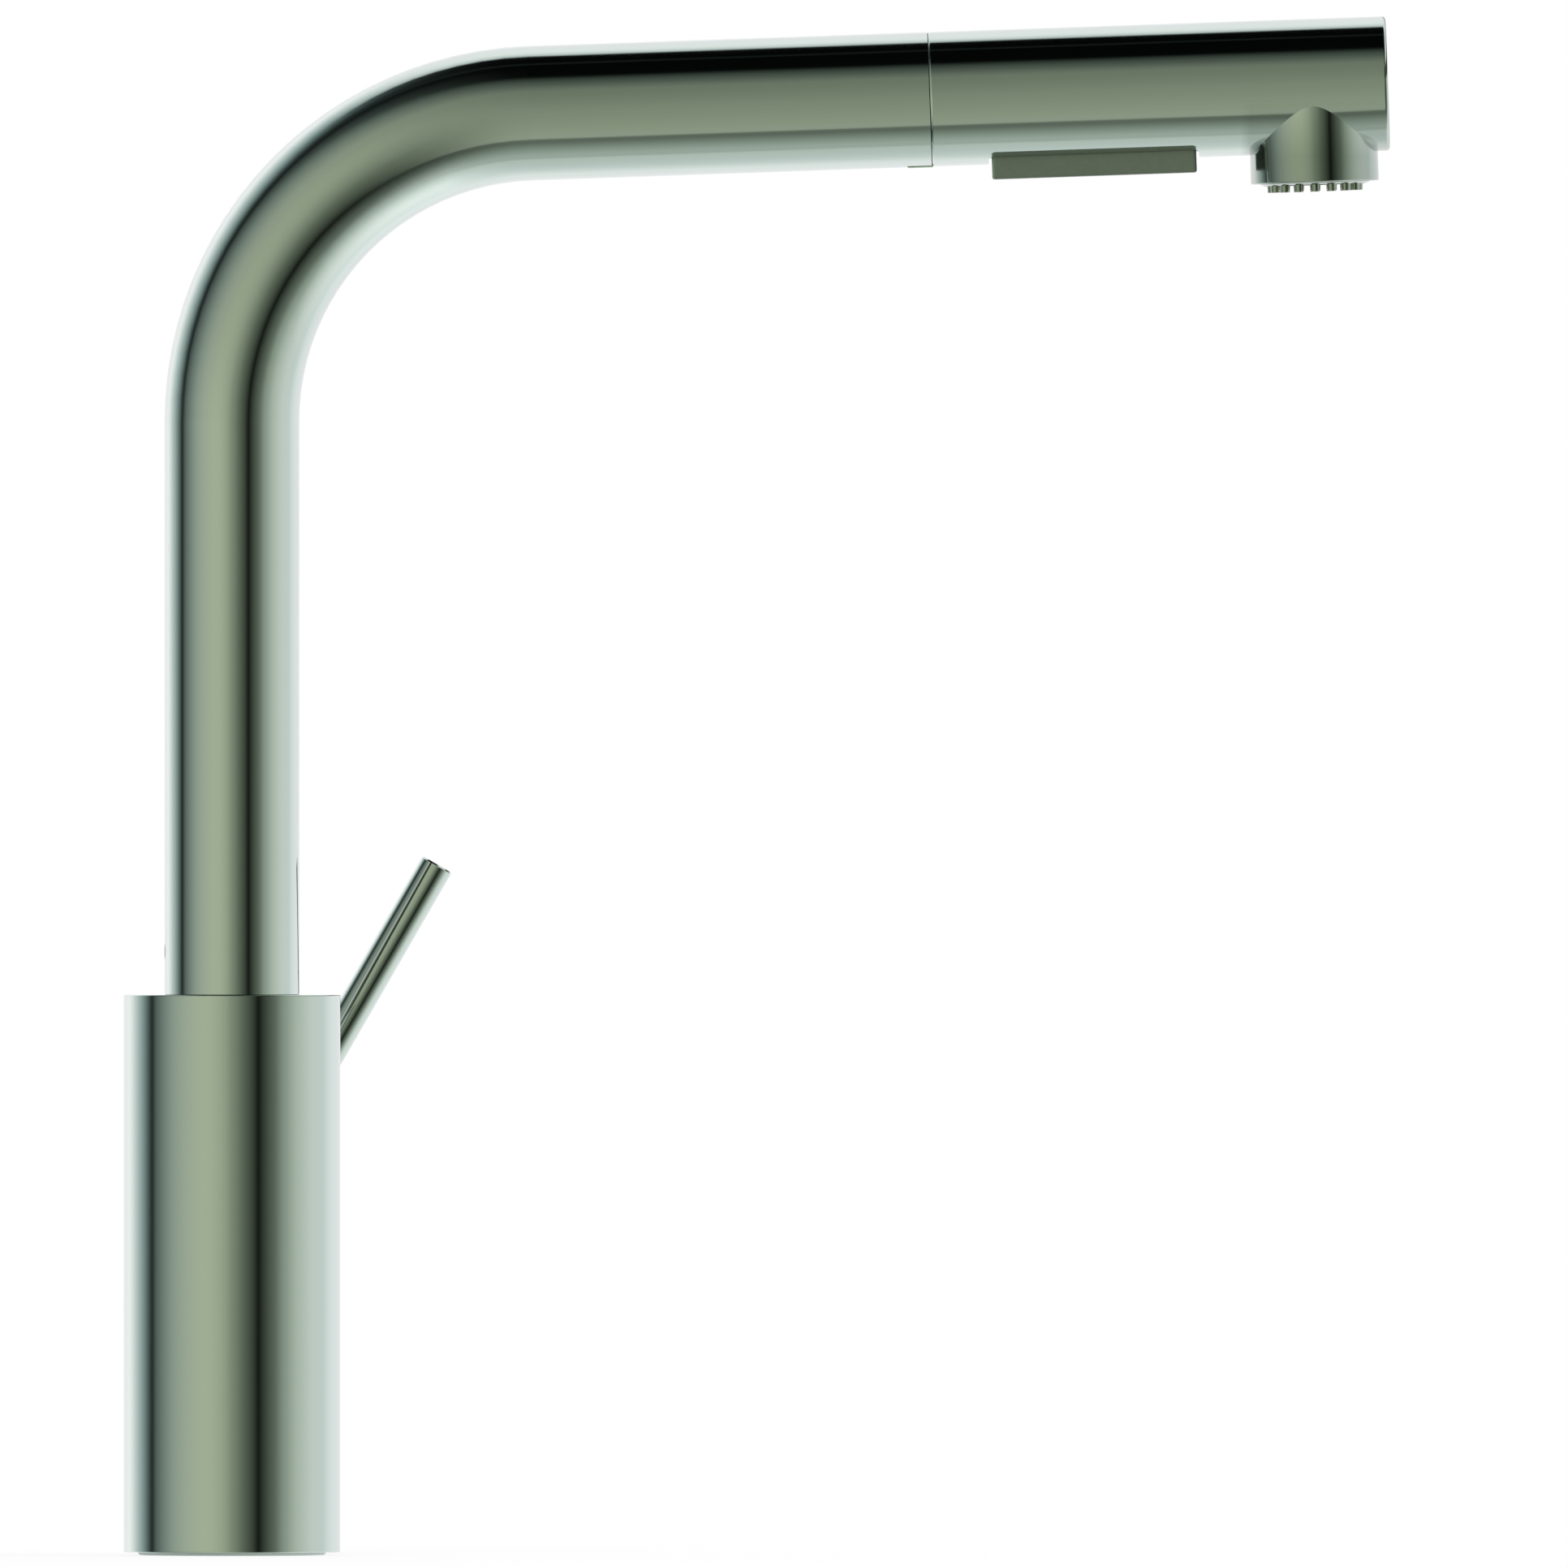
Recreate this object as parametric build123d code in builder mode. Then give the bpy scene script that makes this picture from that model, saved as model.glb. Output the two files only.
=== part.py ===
from build123d import *
import os

# A single-lever kitchen mixer. An L-shaped spout turns on a round body, and its end is a
# pull-out spray head. Millimetres and degrees, Z up. The origin is where the body's axis
# meets the deck, the spout points along +X, and the lever is on the +Y side.

# --- Clearances ---
running_fit = 0.05  # radial play of a fit that turns
pass_gap = 0.3  # between pieces that move past each other
seat_gap = 0.1  # radial play of a fixed piece in its seat
fuse_lap = 0.5  # how far one piece's features reach into each other

# --- Body ---
body_diameter = 45.0
body_top = 116.4
foot_gap = 0.6  # the shell's lower edge above the deck
shell_wall = 2.0
roof_thickness = 2.0
shell_edge = 0.25
gasket_clearance = 1.0  # inside the shell's wall
gasket_width = 2.0
gasket_height = 2.4
gasket_edge = 0.4
hose_passage_diameter = 12.0

# --- Sockets in the body's underside ---
socket_circle_radius = 12.0
supply_thread_bore = 9.0  # M10 x 1
supply_thread_depth = 12.0
supply_angle = 20.0
stud_thread_bore = 6.8  # M8
stud_thread_depth = 15.0
duct_diameter = 5.0
drilling_diameter = 3.8
drilling_depth = 11.0

# --- Swivel ---
post_diameter = 22.4
post_rise = 26.6  # above the body's top
post_thread_diameter = 19.0
post_thread_length = 14.0
post_bore = 13.0
post_edge = 0.5
guide_diameter = 18.0
guide_height = 4.0
washer_width = 2.4
washer_sunk = 0.5
washer_proud = 0.3
swivel_limit = 70.0
stop_margin = 2.0
screw_rise = 9.0  # above the body's top
screw_recess = 0.4
screw_diameter = 4.0
screw_key = 2.0
screw_point_diameter = 2.8
screw_point_length = 1.0
stop_groove_depth = 1.3

# --- Spout ---
tube_diameter = 28.0
tube_wall = 1.2
bend_radius = 64.0
riser_length = 118.9  # from the tube's foot to the bend
arm_tilt = 2.0
arm_length = 83.2
bush_height = 25.0
hose_diameter = 10.0
hose_wall = 1.6

# --- Lever side ---
lever_height = 70.0
lever_lean = 30.0  # from upright, towards the spout
tilt_limit = 20.0
tilt_pivot = 36.0  # from the body's axis, along Y
cartridge_seat = 13.0
neck_seat = 14.0
housing_end = 31.0
housing_edge = 0.4
neck_diameter = 28.0
neck_seal_height = 1.0
case_diameter = 25.0
case_wall = 1.5
case_top = 33.0
case_roof = 3.0
case_flange_diameter = 28.8
case_flange_start = 23.0
case_flange_height = 2.0
base_height = 3.0
port_circle_radius = 6.5
supply_port_angle = 60.0  # to each side of upright
port_diameter = 3.8
port_seal_width = 1.1
port_seal_height = 1.0
fixed_disc_height = 3.5
disc_film = 0.05
moving_disc_diameter = 16.4
moving_disc_height = 3.0
disc_rest_offset = 1.9
disc_pocket_length = 9.0
disc_pocket_width = 5.0
disc_pocket_depth = 1.6
driver_height = 3.3
carrier_neck_diameter = 15.0
carrier_top = 38.2
carrier_slot_length = 17.2
stem_width = 7.0
stem_depth = 6.0
stem_play = 0.2
stem_top = 49.0
stem_shoulder = 28.5
stem_neck_diameter = 3.8
stem_ball_diameter = 4.8
stem_arm = 10.8  # from the tilt pivot to the ball
stem_pin_diameter = 3.0
nut_height = 4.0
nut_room = 1.0  # from the case's flange to the boss's bore
nut_slot = 3.0
dome_gap = 0.5  # between the dome and the hub
dome_wall = 1.2
dome_opening_margin = 6.0  # degrees past the hub's boss at full tilt
dome_flange_width = 0.2  # beyond the dome
dome_flange_height = 0.8
dome_skirt_wall = 1.0
hub_diameter = 36.0
hub_rim_wall = 1.1
hub_rim = 38.5
hub_front = 55.0
hub_edge = 0.4
hub_ceiling = 51.0
hub_boss_diameter = 13.0
hub_boss_start = 42.5
hub_screw_seat = 50.6
hub_screw_diameter = 4.0
hub_screw_length = 8.5
hub_screw_head_diameter = 7.0
hub_screw_head_height = 2.2
hub_screw_key = 2.5
cap_diameter = 12.2
cap_thickness = 1.7
cap_edge = 0.2
pin_axis = 46.0
pin_diameter = 7.0
pin_reach = 84.85  # from the hub's axis to the tip
pin_edge = 0.35
pin_spigot_diameter = 5.0
pin_spigot_length = 2.5

# --- Spray head, along its axis from the seam with the spout ---
seam_gap = 0.25
head_wall = 1.6
seam_edge = 0.3
end_cap_thickness = 1.2
end_cap_edge = 0.8
end_cap_wall = 1.5
nose_diameter = 21.0
nose_length = 14.0
nose_lead = 1.0
nose_plug_length = 8.0
bush_lap = 10.0  # docking bush behind the nose
bush_inset = 1.0
key_width = 4.0
key_length = 5.0
key_proud = 0.15
fitting_bore = 6.4
fitting_thread_diameter = 14.8
fitting_thread_length = 10.0
hex_length = 5.8
hex_across_flats = 16.6
ferrule_diameter = 12.4
ferrule_length = 10.0
head_hose_tail = 80.0
washer_thickness = 1.5
valve_diameter = 12.0
valve_wall = 1.5
valve_length = 10.0
valve_web = 1.2
poppet_diameter = 7.0
poppet_thickness = 1.2

# --- Nozzle, from the head's axis downwards ---
collar_diameter = 26.6
collar_position = 79.45
front_land = 2.55  # of the tube, in front of the collar
collar_bottom = 19.9
collar_wall = 1.3
collar_edge = 0.3
drum_bottom = 14.4
drum_duct_depth = 5.0
membrane_thickness = 1.8
face_thickness = 3.1
face_recess = 0.5
nub_count = 16
nub_circle_radius = 8.87
nub_root_diameter = 2.5
nub_tip_depth = 21.9
nub_taper = 2.5
nub_jet_diameter = 0.9
aerator_diameter = 11.8
aerator_wall = 1.0
aerator_top = 8.0
aerator_lip = 0.9
screen_thickness = 1.2
screen_cell = 1.5
screen_rib = 0.4
screen_columns = 4
screen_rows = 5
screen_cell_turn = 30.0  # sets the cells' flats side by side
seal_height = 0.8
seal_width = 1.6

# --- Spray button, from the head's axis downwards ---
button_length = 42.5
button_width = 12.2
button_position = 33.75
button_bottom = 17.1
button_corner = 1.0
button_edge = 0.45
button_gap = 0.6
button_side_gap = 0.3
button_travel = 2.0
button_flange = 1.2
button_flange_top = 8.0
button_flange_thickness = 1.4
button_skin = 2.4
button_side_wall = 1.6
well_floor = 5.6
channel_diameter = 6.8
channel_rise = 5.0
spindle_diameter = 4.4
spindle_rise = 8.0
spindle_seal_width = 0.9
spindle_seal_height = 1.2
spring_diameter = 8.0
spring_wire = 0.8
spring_turns = 4

# --- Worked out from the sizes above ---
body_radius = body_diameter / 2
shell_bore = body_radius - shell_wall
roof_underside = body_top - roof_thickness
gasket_radius = shell_bore - gasket_clearance
hose_radius = hose_diameter / 2
post_radius = post_diameter / 2
tube_radius = tube_diameter / 2
tube_bore = tube_radius - tube_wall
washer_floor = body_top - washer_sunk
tube_foot = body_top + washer_proud
bend_height = tube_foot + riser_length
post_top = body_top + post_rise
screw_height = body_top + screw_rise
hub_radius = hub_diameter / 2
housing_radius = hub_radius
hub_hollow = hub_radius - hub_rim_wall
dome_radius = hub_hollow - dome_gap
nut_bore = case_flange_diameter / 2 + nut_room
base_top = cartridge_seat + base_height
fixed_disc_top = base_top + fixed_disc_height
moving_disc_start = fixed_disc_top + disc_film
moving_disc_top = moving_disc_start + moving_disc_height
driver_top = moving_disc_top + driver_height
nut_start = case_flange_start + case_flange_height
head_bore = tube_radius - head_wall
collar_radius = collar_diameter / 2
collar_bore = collar_radius - collar_wall
head_length = collar_position + collar_radius + front_land
head_end = head_length - end_cap_thickness
spigot_start = collar_position + collar_bore + seat_gap
nose_radius = nose_diameter / 2
nose_bore = fitting_thread_diameter / 2 + seat_gap
fitting_seat = fitting_thread_length - nose_length
valve_start = fitting_seat + washer_thickness
hex_start = -nose_length - hex_length
face_top = drum_bottom + membrane_thickness
face_bottom = collar_bottom - face_recess

# --- Directions and frames ---
arm = Vector(1, 0, 0).rotate(Axis.Y, -arm_tilt)
down = Vector(0, 0, -1).rotate(Axis.Y, -arm_tilt)
lean = Vector(0, 0, 1).rotate(Axis.Y, lever_lean)
tilt_axis = lean.cross(Vector(0, 1, 0))
bend_centre = Vector(bend_radius, 0, bend_height)
seam = bend_centre - down * bend_radius + arm * arm_length
nozzle_centre = seam + arm * collar_position

# Each turned piece has an outline of (radius, height) points in one of these frames.
body_frame = (Plane.XZ, Axis.Z)
lever_origin = Vector(0, 0, lever_height)
lever_frame = (
    Plane(origin=lever_origin, x_dir=(1, 0, 0), z_dir=(0, 0, 1)),
    Axis(lever_origin, (0, 1, 0)),
)
arm_frame = (Plane(origin=seam, x_dir=-down, z_dir=(0, 1, 0)), Axis(seam, arm))
nozzle_frame = (
    Plane(origin=nozzle_centre, x_dir=arm, z_dir=(0, 1, 0)),
    Axis(nozzle_centre, down),
)


def across_lever(distance):
    """The plane across the lever's axis, with the lever's lean as its X."""
    return Plane(origin=(0, distance, lever_height), x_dir=lean, z_dir=(0, 1, 0))


def across_arm(distance):
    """The plane across the arm's axis, that far past the seam, with up as its Y."""
    return Plane(origin=seam + arm * distance, x_dir=(0, 1, 0), z_dir=arm)


def under_head(depth, distance=0.0):
    """The plane that faces down from the head, that far below its axis and past the seam."""
    return Plane(origin=seam + arm * distance + down * depth, x_dir=arm, z_dir=down)


def turn(frame, outline, mode=Mode.ADD):
    """Turns a closed outline of (radius, height) points about the frame's axis."""
    plane, axis = frame
    with BuildSketch(plane) as section:
        with BuildLine():
            Polyline(*outline, close=True)
        make_face()
    revolve(section.sketch, axis=axis, mode=mode)


def tube(frame, inner, outer, start, end, mode=Mode.ADD):
    """A plain tube about the frame's axis, from one height to the other."""
    turn(frame, [(inner, start), (outer, start), (outer, end), (inner, end)], mode)


def rod(frame, radius, start, end, mode=Mode.ADD):
    """A plain round bar, or with Mode.SUBTRACT a bore, about the frame's axis."""
    tube(frame, 0, radius, start, end, mode)


# === Body ===

# Flat rubber ring that the body stands on.
with BuildPart() as base_gasket:
    turn(
        body_frame,
        [
            (gasket_radius - gasket_width, 0),
            (gasket_radius - gasket_edge, 0),
            (gasket_radius, gasket_edge),
            (gasket_radius, gasket_height),
            (gasket_radius - gasket_width, gasket_height),
        ],
    )

# Turned steel sleeve with a closed roof. The slide washer lies in a recess in the roof,
# the post passes its middle, and the lever's housing passes its side.
recess_radius = tube_radius - seat_gap
with BuildPart() as body_shell:
    turn(
        body_frame,
        [
            (shell_bore, foot_gap),
            (body_radius - shell_edge, foot_gap),
            (body_radius, foot_gap + shell_edge),
            (body_radius, body_top - shell_edge),
            (body_radius - shell_edge, body_top),
            (recess_radius, body_top),
            (recess_radius, washer_floor),
            (post_thread_diameter / 2 + seat_gap, washer_floor),
            (post_thread_diameter / 2 + seat_gap, roof_underside),
            (shell_bore, roof_underside),
        ],
    )
    with BuildSketch(across_lever(0)):
        Circle(neck_diameter / 2 + seat_gap)
    extrude(amount=body_diameter, mode=Mode.SUBTRACT)

# Brass block inside the shell: a passage for the hose, two supply sockets and a mixed-water
# socket in the underside, a stud socket, and drillings up to the cartridge's seat.
block_radius = shell_bore - seat_gap
socket_floor = roof_underside - post_thread_length
supply_spot = Vector(socket_circle_radius, 0, 0).rotate(Axis.Z, supply_angle)
supply_spots = [(supply_spot.X, supply_spot.Y), (-supply_spot.X, supply_spot.Y)]
outlet_spot = (0, socket_circle_radius)
stud_spot = (0, -socket_circle_radius)
duct_spot = (0, (hose_passage_diameter / 2 + cartridge_seat) / 2)
port_turns = (supply_port_angle, -supply_port_angle, 180)
port_directions = [Vector(0, 0, 1).rotate(Axis.Y, angle) for angle in port_turns]
port_points = [
    lever_origin + Vector(0, cartridge_seat, 0) + way * port_circle_radius
    for way in port_directions
]
duct_spots = supply_spots + [duct_spot]
with BuildPart() as valve_block:
    turn(
        body_frame,
        [
            (hose_passage_diameter / 2, foot_gap),
            (gasket_radius - gasket_width - seat_gap, foot_gap),
            (gasket_radius - gasket_width - seat_gap, gasket_height),
            (block_radius, gasket_height),
            (block_radius, roof_underside),
            (post_thread_diameter / 2, roof_underside),
            (post_thread_diameter / 2, socket_floor),
            (hose_passage_diameter / 2, socket_floor),
        ],
    )
    rod(lever_frame, case_diameter / 2 + seat_gap, cartridge_seat, body_radius, Mode.SUBTRACT)
    rod(lever_frame, neck_diameter / 2 + seat_gap, neck_seat, body_radius, Mode.SUBTRACT)
    with BuildSketch(Plane.XY.offset(foot_gap)):
        with Locations(*supply_spots, outlet_spot):
            Circle(supply_thread_bore / 2)
    extrude(amount=supply_thread_depth, mode=Mode.SUBTRACT)
    with BuildSketch(Plane.XY.offset(foot_gap)):
        with Locations(stud_spot):
            Circle(stud_thread_bore / 2)
    extrude(amount=stud_thread_depth, mode=Mode.SUBTRACT)
    for spot, port in zip(duct_spots, port_points):
        duct_top = Vector(*spot, port.Z) - Vector(0, 0, drilling_depth)
        with BuildSketch(Plane.XY.offset(foot_gap)):
            with Locations(spot):
                Circle(duct_diameter / 2)
        extrude(amount=duct_top.Z - foot_gap, mode=Mode.SUBTRACT)
        to_duct = duct_top - Vector(0, 0, duct_diameter / 2) - port
        with BuildSketch(Plane(origin=port, z_dir=to_duct)):
            Circle(drilling_diameter / 2)
        extrude(amount=to_duct.length, mode=Mode.SUBTRACT)

# === Swivel ===

# Brass post, screwed through the roof into the block. The spout turns on it, and a part-round
# groove in it lets the spout's screw travel between the two stops.
groove_floor = post_radius - stop_groove_depth
point_half_angle = Vector(groove_floor, screw_point_diameter / 2).get_angle(Vector(1, 0))
groove_half_angle = swivel_limit + stop_margin + point_half_angle
groove_start = Vector(-1, 0, 0).rotate(Axis.Z, -groove_half_angle)
groove_plane = Plane(origin=(0, 0, 0), x_dir=groove_start, z_dir=groove_start.cross(Vector(0, 0, 1)))
with BuildPart() as swivel_post:
    turn(
        body_frame,
        [
            (post_bore / 2, socket_floor),
            (post_thread_diameter / 2 - seat_gap, socket_floor),
            (post_thread_diameter / 2 - seat_gap, washer_floor),
            (post_radius, washer_floor),
            (post_radius, post_top - post_edge),
            (post_radius - post_edge, post_top),
            (guide_diameter / 2, post_top),
            (guide_diameter / 2, post_top - guide_height),
            (post_bore / 2, post_top - guide_height),
        ],
    )
    with BuildSketch(groove_plane):
        with Locations((post_radius, screw_height)):
            Rectangle(2 * stop_groove_depth, screw_point_diameter + 2 * pass_gap)
    revolve(axis=Axis.Z, revolution_arc=2 * groove_half_angle, mode=Mode.SUBTRACT)

# Plastic ring in the post's mouth that keeps the hose off the brass.
with BuildPart() as hose_guide:
    tube(
        body_frame,
        hose_radius + pass_gap,
        guide_diameter / 2 - seat_gap,
        post_top - guide_height,
        post_top,
    )

# Plastic ring that the spout turns on: the dark line at its foot.
with BuildPart() as slide_washer:
    outer = recess_radius - seat_gap
    tube(body_frame, outer - washer_width, outer, washer_floor, tube_foot)

# === Cartridge ===

# Steel boss that screws through the shell into the block and holds the cartridge.
case_bore = case_diameter / 2 + seat_gap
with BuildPart() as cartridge_housing:
    turn(
        lever_frame,
        [
            (0, neck_seat),
            (housing_radius, neck_seat),
            (housing_radius, housing_end - housing_edge),
            (housing_radius - housing_edge, housing_end),
            (0, housing_end),
        ],
    )
    rod(body_frame, body_radius + seat_gap, 0, body_top, Mode.SUBTRACT)
    rod(lever_frame, neck_diameter / 2, neck_seat + neck_seal_height, case_flange_start)
    rod(lever_frame, case_bore, neck_seat, housing_end, Mode.SUBTRACT)
    rod(lever_frame, nut_bore, case_flange_start, housing_end, Mode.SUBTRACT)

# Rubber ring between the boss's neck and the block.
with BuildPart() as housing_seal:
    tube(lever_frame, case_bore, neck_diameter / 2, neck_seat, neck_seat + neck_seal_height)

# Plastic floor of the cartridge with its three ports, each with a seal on the block's side.
seal_radius = port_diameter / 2 + port_seal_width
port_spots = [port - Vector(0, cartridge_seat, 0) - lever_origin for port in port_points]
port_plane = Plane(origin=(0, cartridge_seat, lever_height), x_dir=(1, 0, 0), z_dir=(0, 1, 0))
flat_ports = [(spot.X, -spot.Z) for spot in port_spots]
with BuildPart() as cartridge_base:
    rod(lever_frame, case_diameter / 2, cartridge_seat, base_top)
    with BuildSketch(port_plane):
        with Locations(*flat_ports):
            Circle(port_diameter / 2)
    extrude(amount=base_height, mode=Mode.SUBTRACT)
    with BuildSketch(port_plane):
        with Locations(*flat_ports):
            Circle(seal_radius)
    extrude(amount=port_seal_height, mode=Mode.SUBTRACT)

with BuildPart() as port_seals:
    with BuildSketch(port_plane):
        with Locations(*flat_ports):
            Circle(seal_radius)
            Circle(port_diameter / 2, mode=Mode.SUBTRACT)
    extrude(amount=port_seal_height)

# Ceramic disc that stays still, with the same three ports.
case_inside = case_diameter / 2 - case_wall
with BuildPart() as fixed_disc:
    rod(lever_frame, case_inside - seat_gap, base_top, fixed_disc_top)
    with BuildSketch(port_plane.offset(base_height)):
        with Locations(*flat_ports):
            Circle(port_diameter / 2)
    extrude(amount=fixed_disc_height, mode=Mode.SUBTRACT)

# Plastic case over the discs. Its flange is what the nut holds down.
case_hole = carrier_neck_diameter / 2 + pass_gap
with BuildPart() as cartridge_case:
    turn(
        lever_frame,
        [
            (case_inside, base_top),
            (case_diameter / 2, base_top),
            (case_diameter / 2, case_flange_start),
            (case_flange_diameter / 2, case_flange_start),
            (case_flange_diameter / 2, nut_start),
            (case_diameter / 2, nut_start),
            (case_diameter / 2, case_top),
            (case_hole, case_top),
            (case_hole, case_top - case_roof),
            (case_inside, case_top - case_roof),
        ],
    )

# Brass ring nut in the boss's mouth, with four slots for a pin spanner.
with BuildPart() as cartridge_nut:
    tube(lever_frame, case_bore, nut_bore - seat_gap, nut_start, nut_start + nut_height)
    with BuildSketch(across_lever(nut_start + nut_height)):
        with PolarLocations(nut_bore, 4):
            Rectangle(nut_slot, nut_slot)
    extrude(amount=-nut_height / 2, mode=Mode.SUBTRACT)

# Ceramic disc that the lever slides and turns over the ports, with a mixing pocket.
with BuildPart() as moving_disc:
    with BuildSketch(across_lever(moving_disc_start)):
        with Locations((-disc_rest_offset, 0)):
            Circle(moving_disc_diameter / 2)
    extrude(amount=moving_disc_height)
    with BuildSketch(across_lever(moving_disc_start)):
        with Locations((-disc_rest_offset, 0)):
            SlotOverall(disc_pocket_length, disc_pocket_width)
    extrude(amount=disc_pocket_depth, mode=Mode.SUBTRACT)

# Plastic plate on the moving disc, with a square window for the stem's ball.
window = stem_ball_diameter + 2 * pass_gap
with BuildPart() as disc_driver:
    with BuildSketch(across_lever(moving_disc_top)):
        with Locations((-disc_rest_offset, 0)):
            Circle(moving_disc_diameter / 2 - seat_gap)
        Rectangle(window, window, mode=Mode.SUBTRACT)
    extrude(amount=driver_height)

# Plastic fork that turns in the case and carries the stem's pin. Two rails reach down beside
# the driver, so that the disc turns with the fork and slides between them.
carrier_radius = case_inside - pass_gap
carrier_start = driver_top + pass_gap
carrier_flange_top = case_top - case_roof - pass_gap
rail_gap = moving_disc_diameter + 2 * pass_gap
pin_plane = Plane(origin=(0, tilt_pivot, lever_height), x_dir=lean, z_dir=tilt_axis)
with BuildPart() as turn_carrier:
    rod(lever_frame, carrier_radius, carrier_start, carrier_flange_top)
    rod(lever_frame, carrier_neck_diameter / 2, carrier_flange_top, carrier_top)
    with BuildSketch(across_lever(moving_disc_top)):
        Circle(carrier_radius)
        Rectangle(2 * carrier_radius, rail_gap, mode=Mode.SUBTRACT)
    extrude(amount=carrier_start - moving_disc_top)
    with BuildSketch(across_lever(carrier_start)):
        Rectangle(carrier_slot_length, stem_width + 2 * stem_play)
    extrude(amount=carrier_top - carrier_start, mode=Mode.SUBTRACT)
    with BuildSketch(pin_plane):
        Circle(stem_pin_diameter / 2)
    extrude(amount=carrier_neck_diameter, both=True, mode=Mode.SUBTRACT)

# Steel pin across the fork: the axis that the lever tilts on.
with BuildPart() as stem_pin:
    with BuildSketch(pin_plane):
        Circle(stem_pin_diameter / 2)
    extrude(amount=carrier_neck_diameter / 2 - pass_gap, both=True)

# Brass stem: a square bar in the hub, and a ball that moves the disc.
ball_centre = tilt_pivot - stem_arm
with BuildPart() as cartridge_stem:
    with BuildSketch(across_lever(stem_shoulder)):
        Rectangle(stem_depth, stem_width)
    extrude(amount=stem_top - stem_shoulder)
    rod(lever_frame, stem_neck_diameter / 2, ball_centre, stem_shoulder)
    with Locations((0, ball_centre, lever_height)):
        Sphere(stem_ball_diameter / 2)
    with BuildSketch(pin_plane):
        Circle(stem_pin_diameter / 2 + running_fit)
    extrude(amount=stem_width, both=True, mode=Mode.SUBTRACT)
    hole_start = hub_screw_seat - hub_screw_length
    rod(lever_frame, hub_screw_diameter / 2, hole_start, stem_top, Mode.SUBTRACT)

# Thin steel dome over the cartridge, part of a ball about the tilt pivot, so that the hub's
# rim glides over it.
dome_skirt = nut_start + nut_height
dome_inside = dome_radius - dome_wall
boss_angle = Vector(hub_boss_diameter / 2, dome_inside).get_angle(Vector(0, 1))
opening_angle = boss_angle + tilt_limit + dome_opening_margin
dome_opening = Vector(0, dome_inside).rotate(Axis.Z, opening_angle).Y
with BuildPart() as dome_cover:
    with BuildSketch(lever_frame[0]):
        with Locations((0, tilt_pivot)):
            Circle(dome_radius)
            Circle(dome_inside, mode=Mode.SUBTRACT)
        with Locations((0, housing_end)):
            Rectangle(
                dome_radius,
                tilt_pivot + dome_opening - housing_end,
                align=(Align.MIN, Align.MIN),
                mode=Mode.INTERSECT,
            )
    revolve(axis=lever_frame[1])
    flange_end = housing_end + dome_flange_height
    skirt_bore = nut_bore - dome_skirt_wall
    tube(lever_frame, skirt_bore, dome_radius + dome_flange_width, housing_end, flange_end)
    tube(lever_frame, skirt_bore, nut_bore - seat_gap, dome_skirt, housing_end)

# === Lever ===

# Turned steel hub: hollowed to a ball that clears the dome, with a boss for the stem.
with BuildPart() as lever_hub:
    turn(
        lever_frame,
        [
            (0, hub_rim),
            (hub_radius - hub_edge / 2, hub_rim),
            (hub_radius, hub_rim + hub_edge / 2),
            (hub_radius, hub_front - hub_edge),
            (hub_radius - hub_edge, hub_front),
            (0, hub_front),
        ],
    )
    with BuildSketch(lever_frame[0]):
        with Locations((0, tilt_pivot)):
            Circle(hub_hollow)
        with Locations((0, housing_end)):
            Rectangle(
                hub_diameter,
                hub_ceiling - housing_end,
                align=(Align.MIN, Align.MIN),
                mode=Mode.INTERSECT,
            )
    revolve(axis=lever_frame[1], mode=Mode.SUBTRACT)
    rod(lever_frame, hub_boss_diameter / 2, hub_boss_start, hub_front - cap_thickness)
    with BuildSketch(across_lever(hub_boss_start)):
        Rectangle(stem_depth + seat_gap, stem_width + seat_gap)
    extrude(amount=stem_top - hub_boss_start, mode=Mode.SUBTRACT)
    cap_seat = hub_front - cap_thickness
    rod(lever_frame, hub_screw_diameter / 2 + seat_gap, stem_top, hub_screw_seat, Mode.SUBTRACT)
    rod(lever_frame, hub_screw_head_diameter / 2 + pass_gap, hub_screw_seat, cap_seat, Mode.SUBTRACT)
    rod(lever_frame, cap_diameter / 2 + running_fit, cap_seat, hub_front, Mode.SUBTRACT)
    pin_foot = hub_radius - pin_spigot_length
    pin_foot_plane = Plane(origin=Vector(0, pin_axis, lever_height) + lean * pin_foot, z_dir=lean)
    with BuildSketch(pin_foot_plane):
        Circle(pin_spigot_diameter / 2 + running_fit)
    extrude(amount=hub_radius, mode=Mode.SUBTRACT)

# Round steel pin that the hand holds, square to the hub, its foot cut to the hub's curve.
with BuildPart() as lever_pin:
    with BuildSketch(pin_foot_plane):
        Circle(pin_diameter / 2)
    extrude(amount=pin_reach - pin_foot)
    chamfer(lever_pin.faces().sort_by(Axis(lever_origin, lean))[-1].edges(), pin_edge)
    rod(lever_frame, hub_radius, hub_rim, hub_front, Mode.SUBTRACT)
    with BuildSketch(pin_foot_plane):
        Circle(pin_spigot_diameter / 2)
    extrude(amount=pin_spigot_length + fuse_lap)

# Screw that holds the hub on the stem, and the flush plug over it.
with BuildPart() as hub_screw:
    head_end_face = hub_screw_seat + hub_screw_head_height
    rod(lever_frame, hub_screw_diameter / 2, hub_screw_seat - hub_screw_length, hub_screw_seat)
    rod(lever_frame, hub_screw_head_diameter / 2, hub_screw_seat, head_end_face)
    with BuildSketch(across_lever(head_end_face)):
        RegularPolygon(hub_screw_key / 2, 6, major_radius=False)
    extrude(amount=-hub_screw_head_height / 2, mode=Mode.SUBTRACT)

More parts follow.
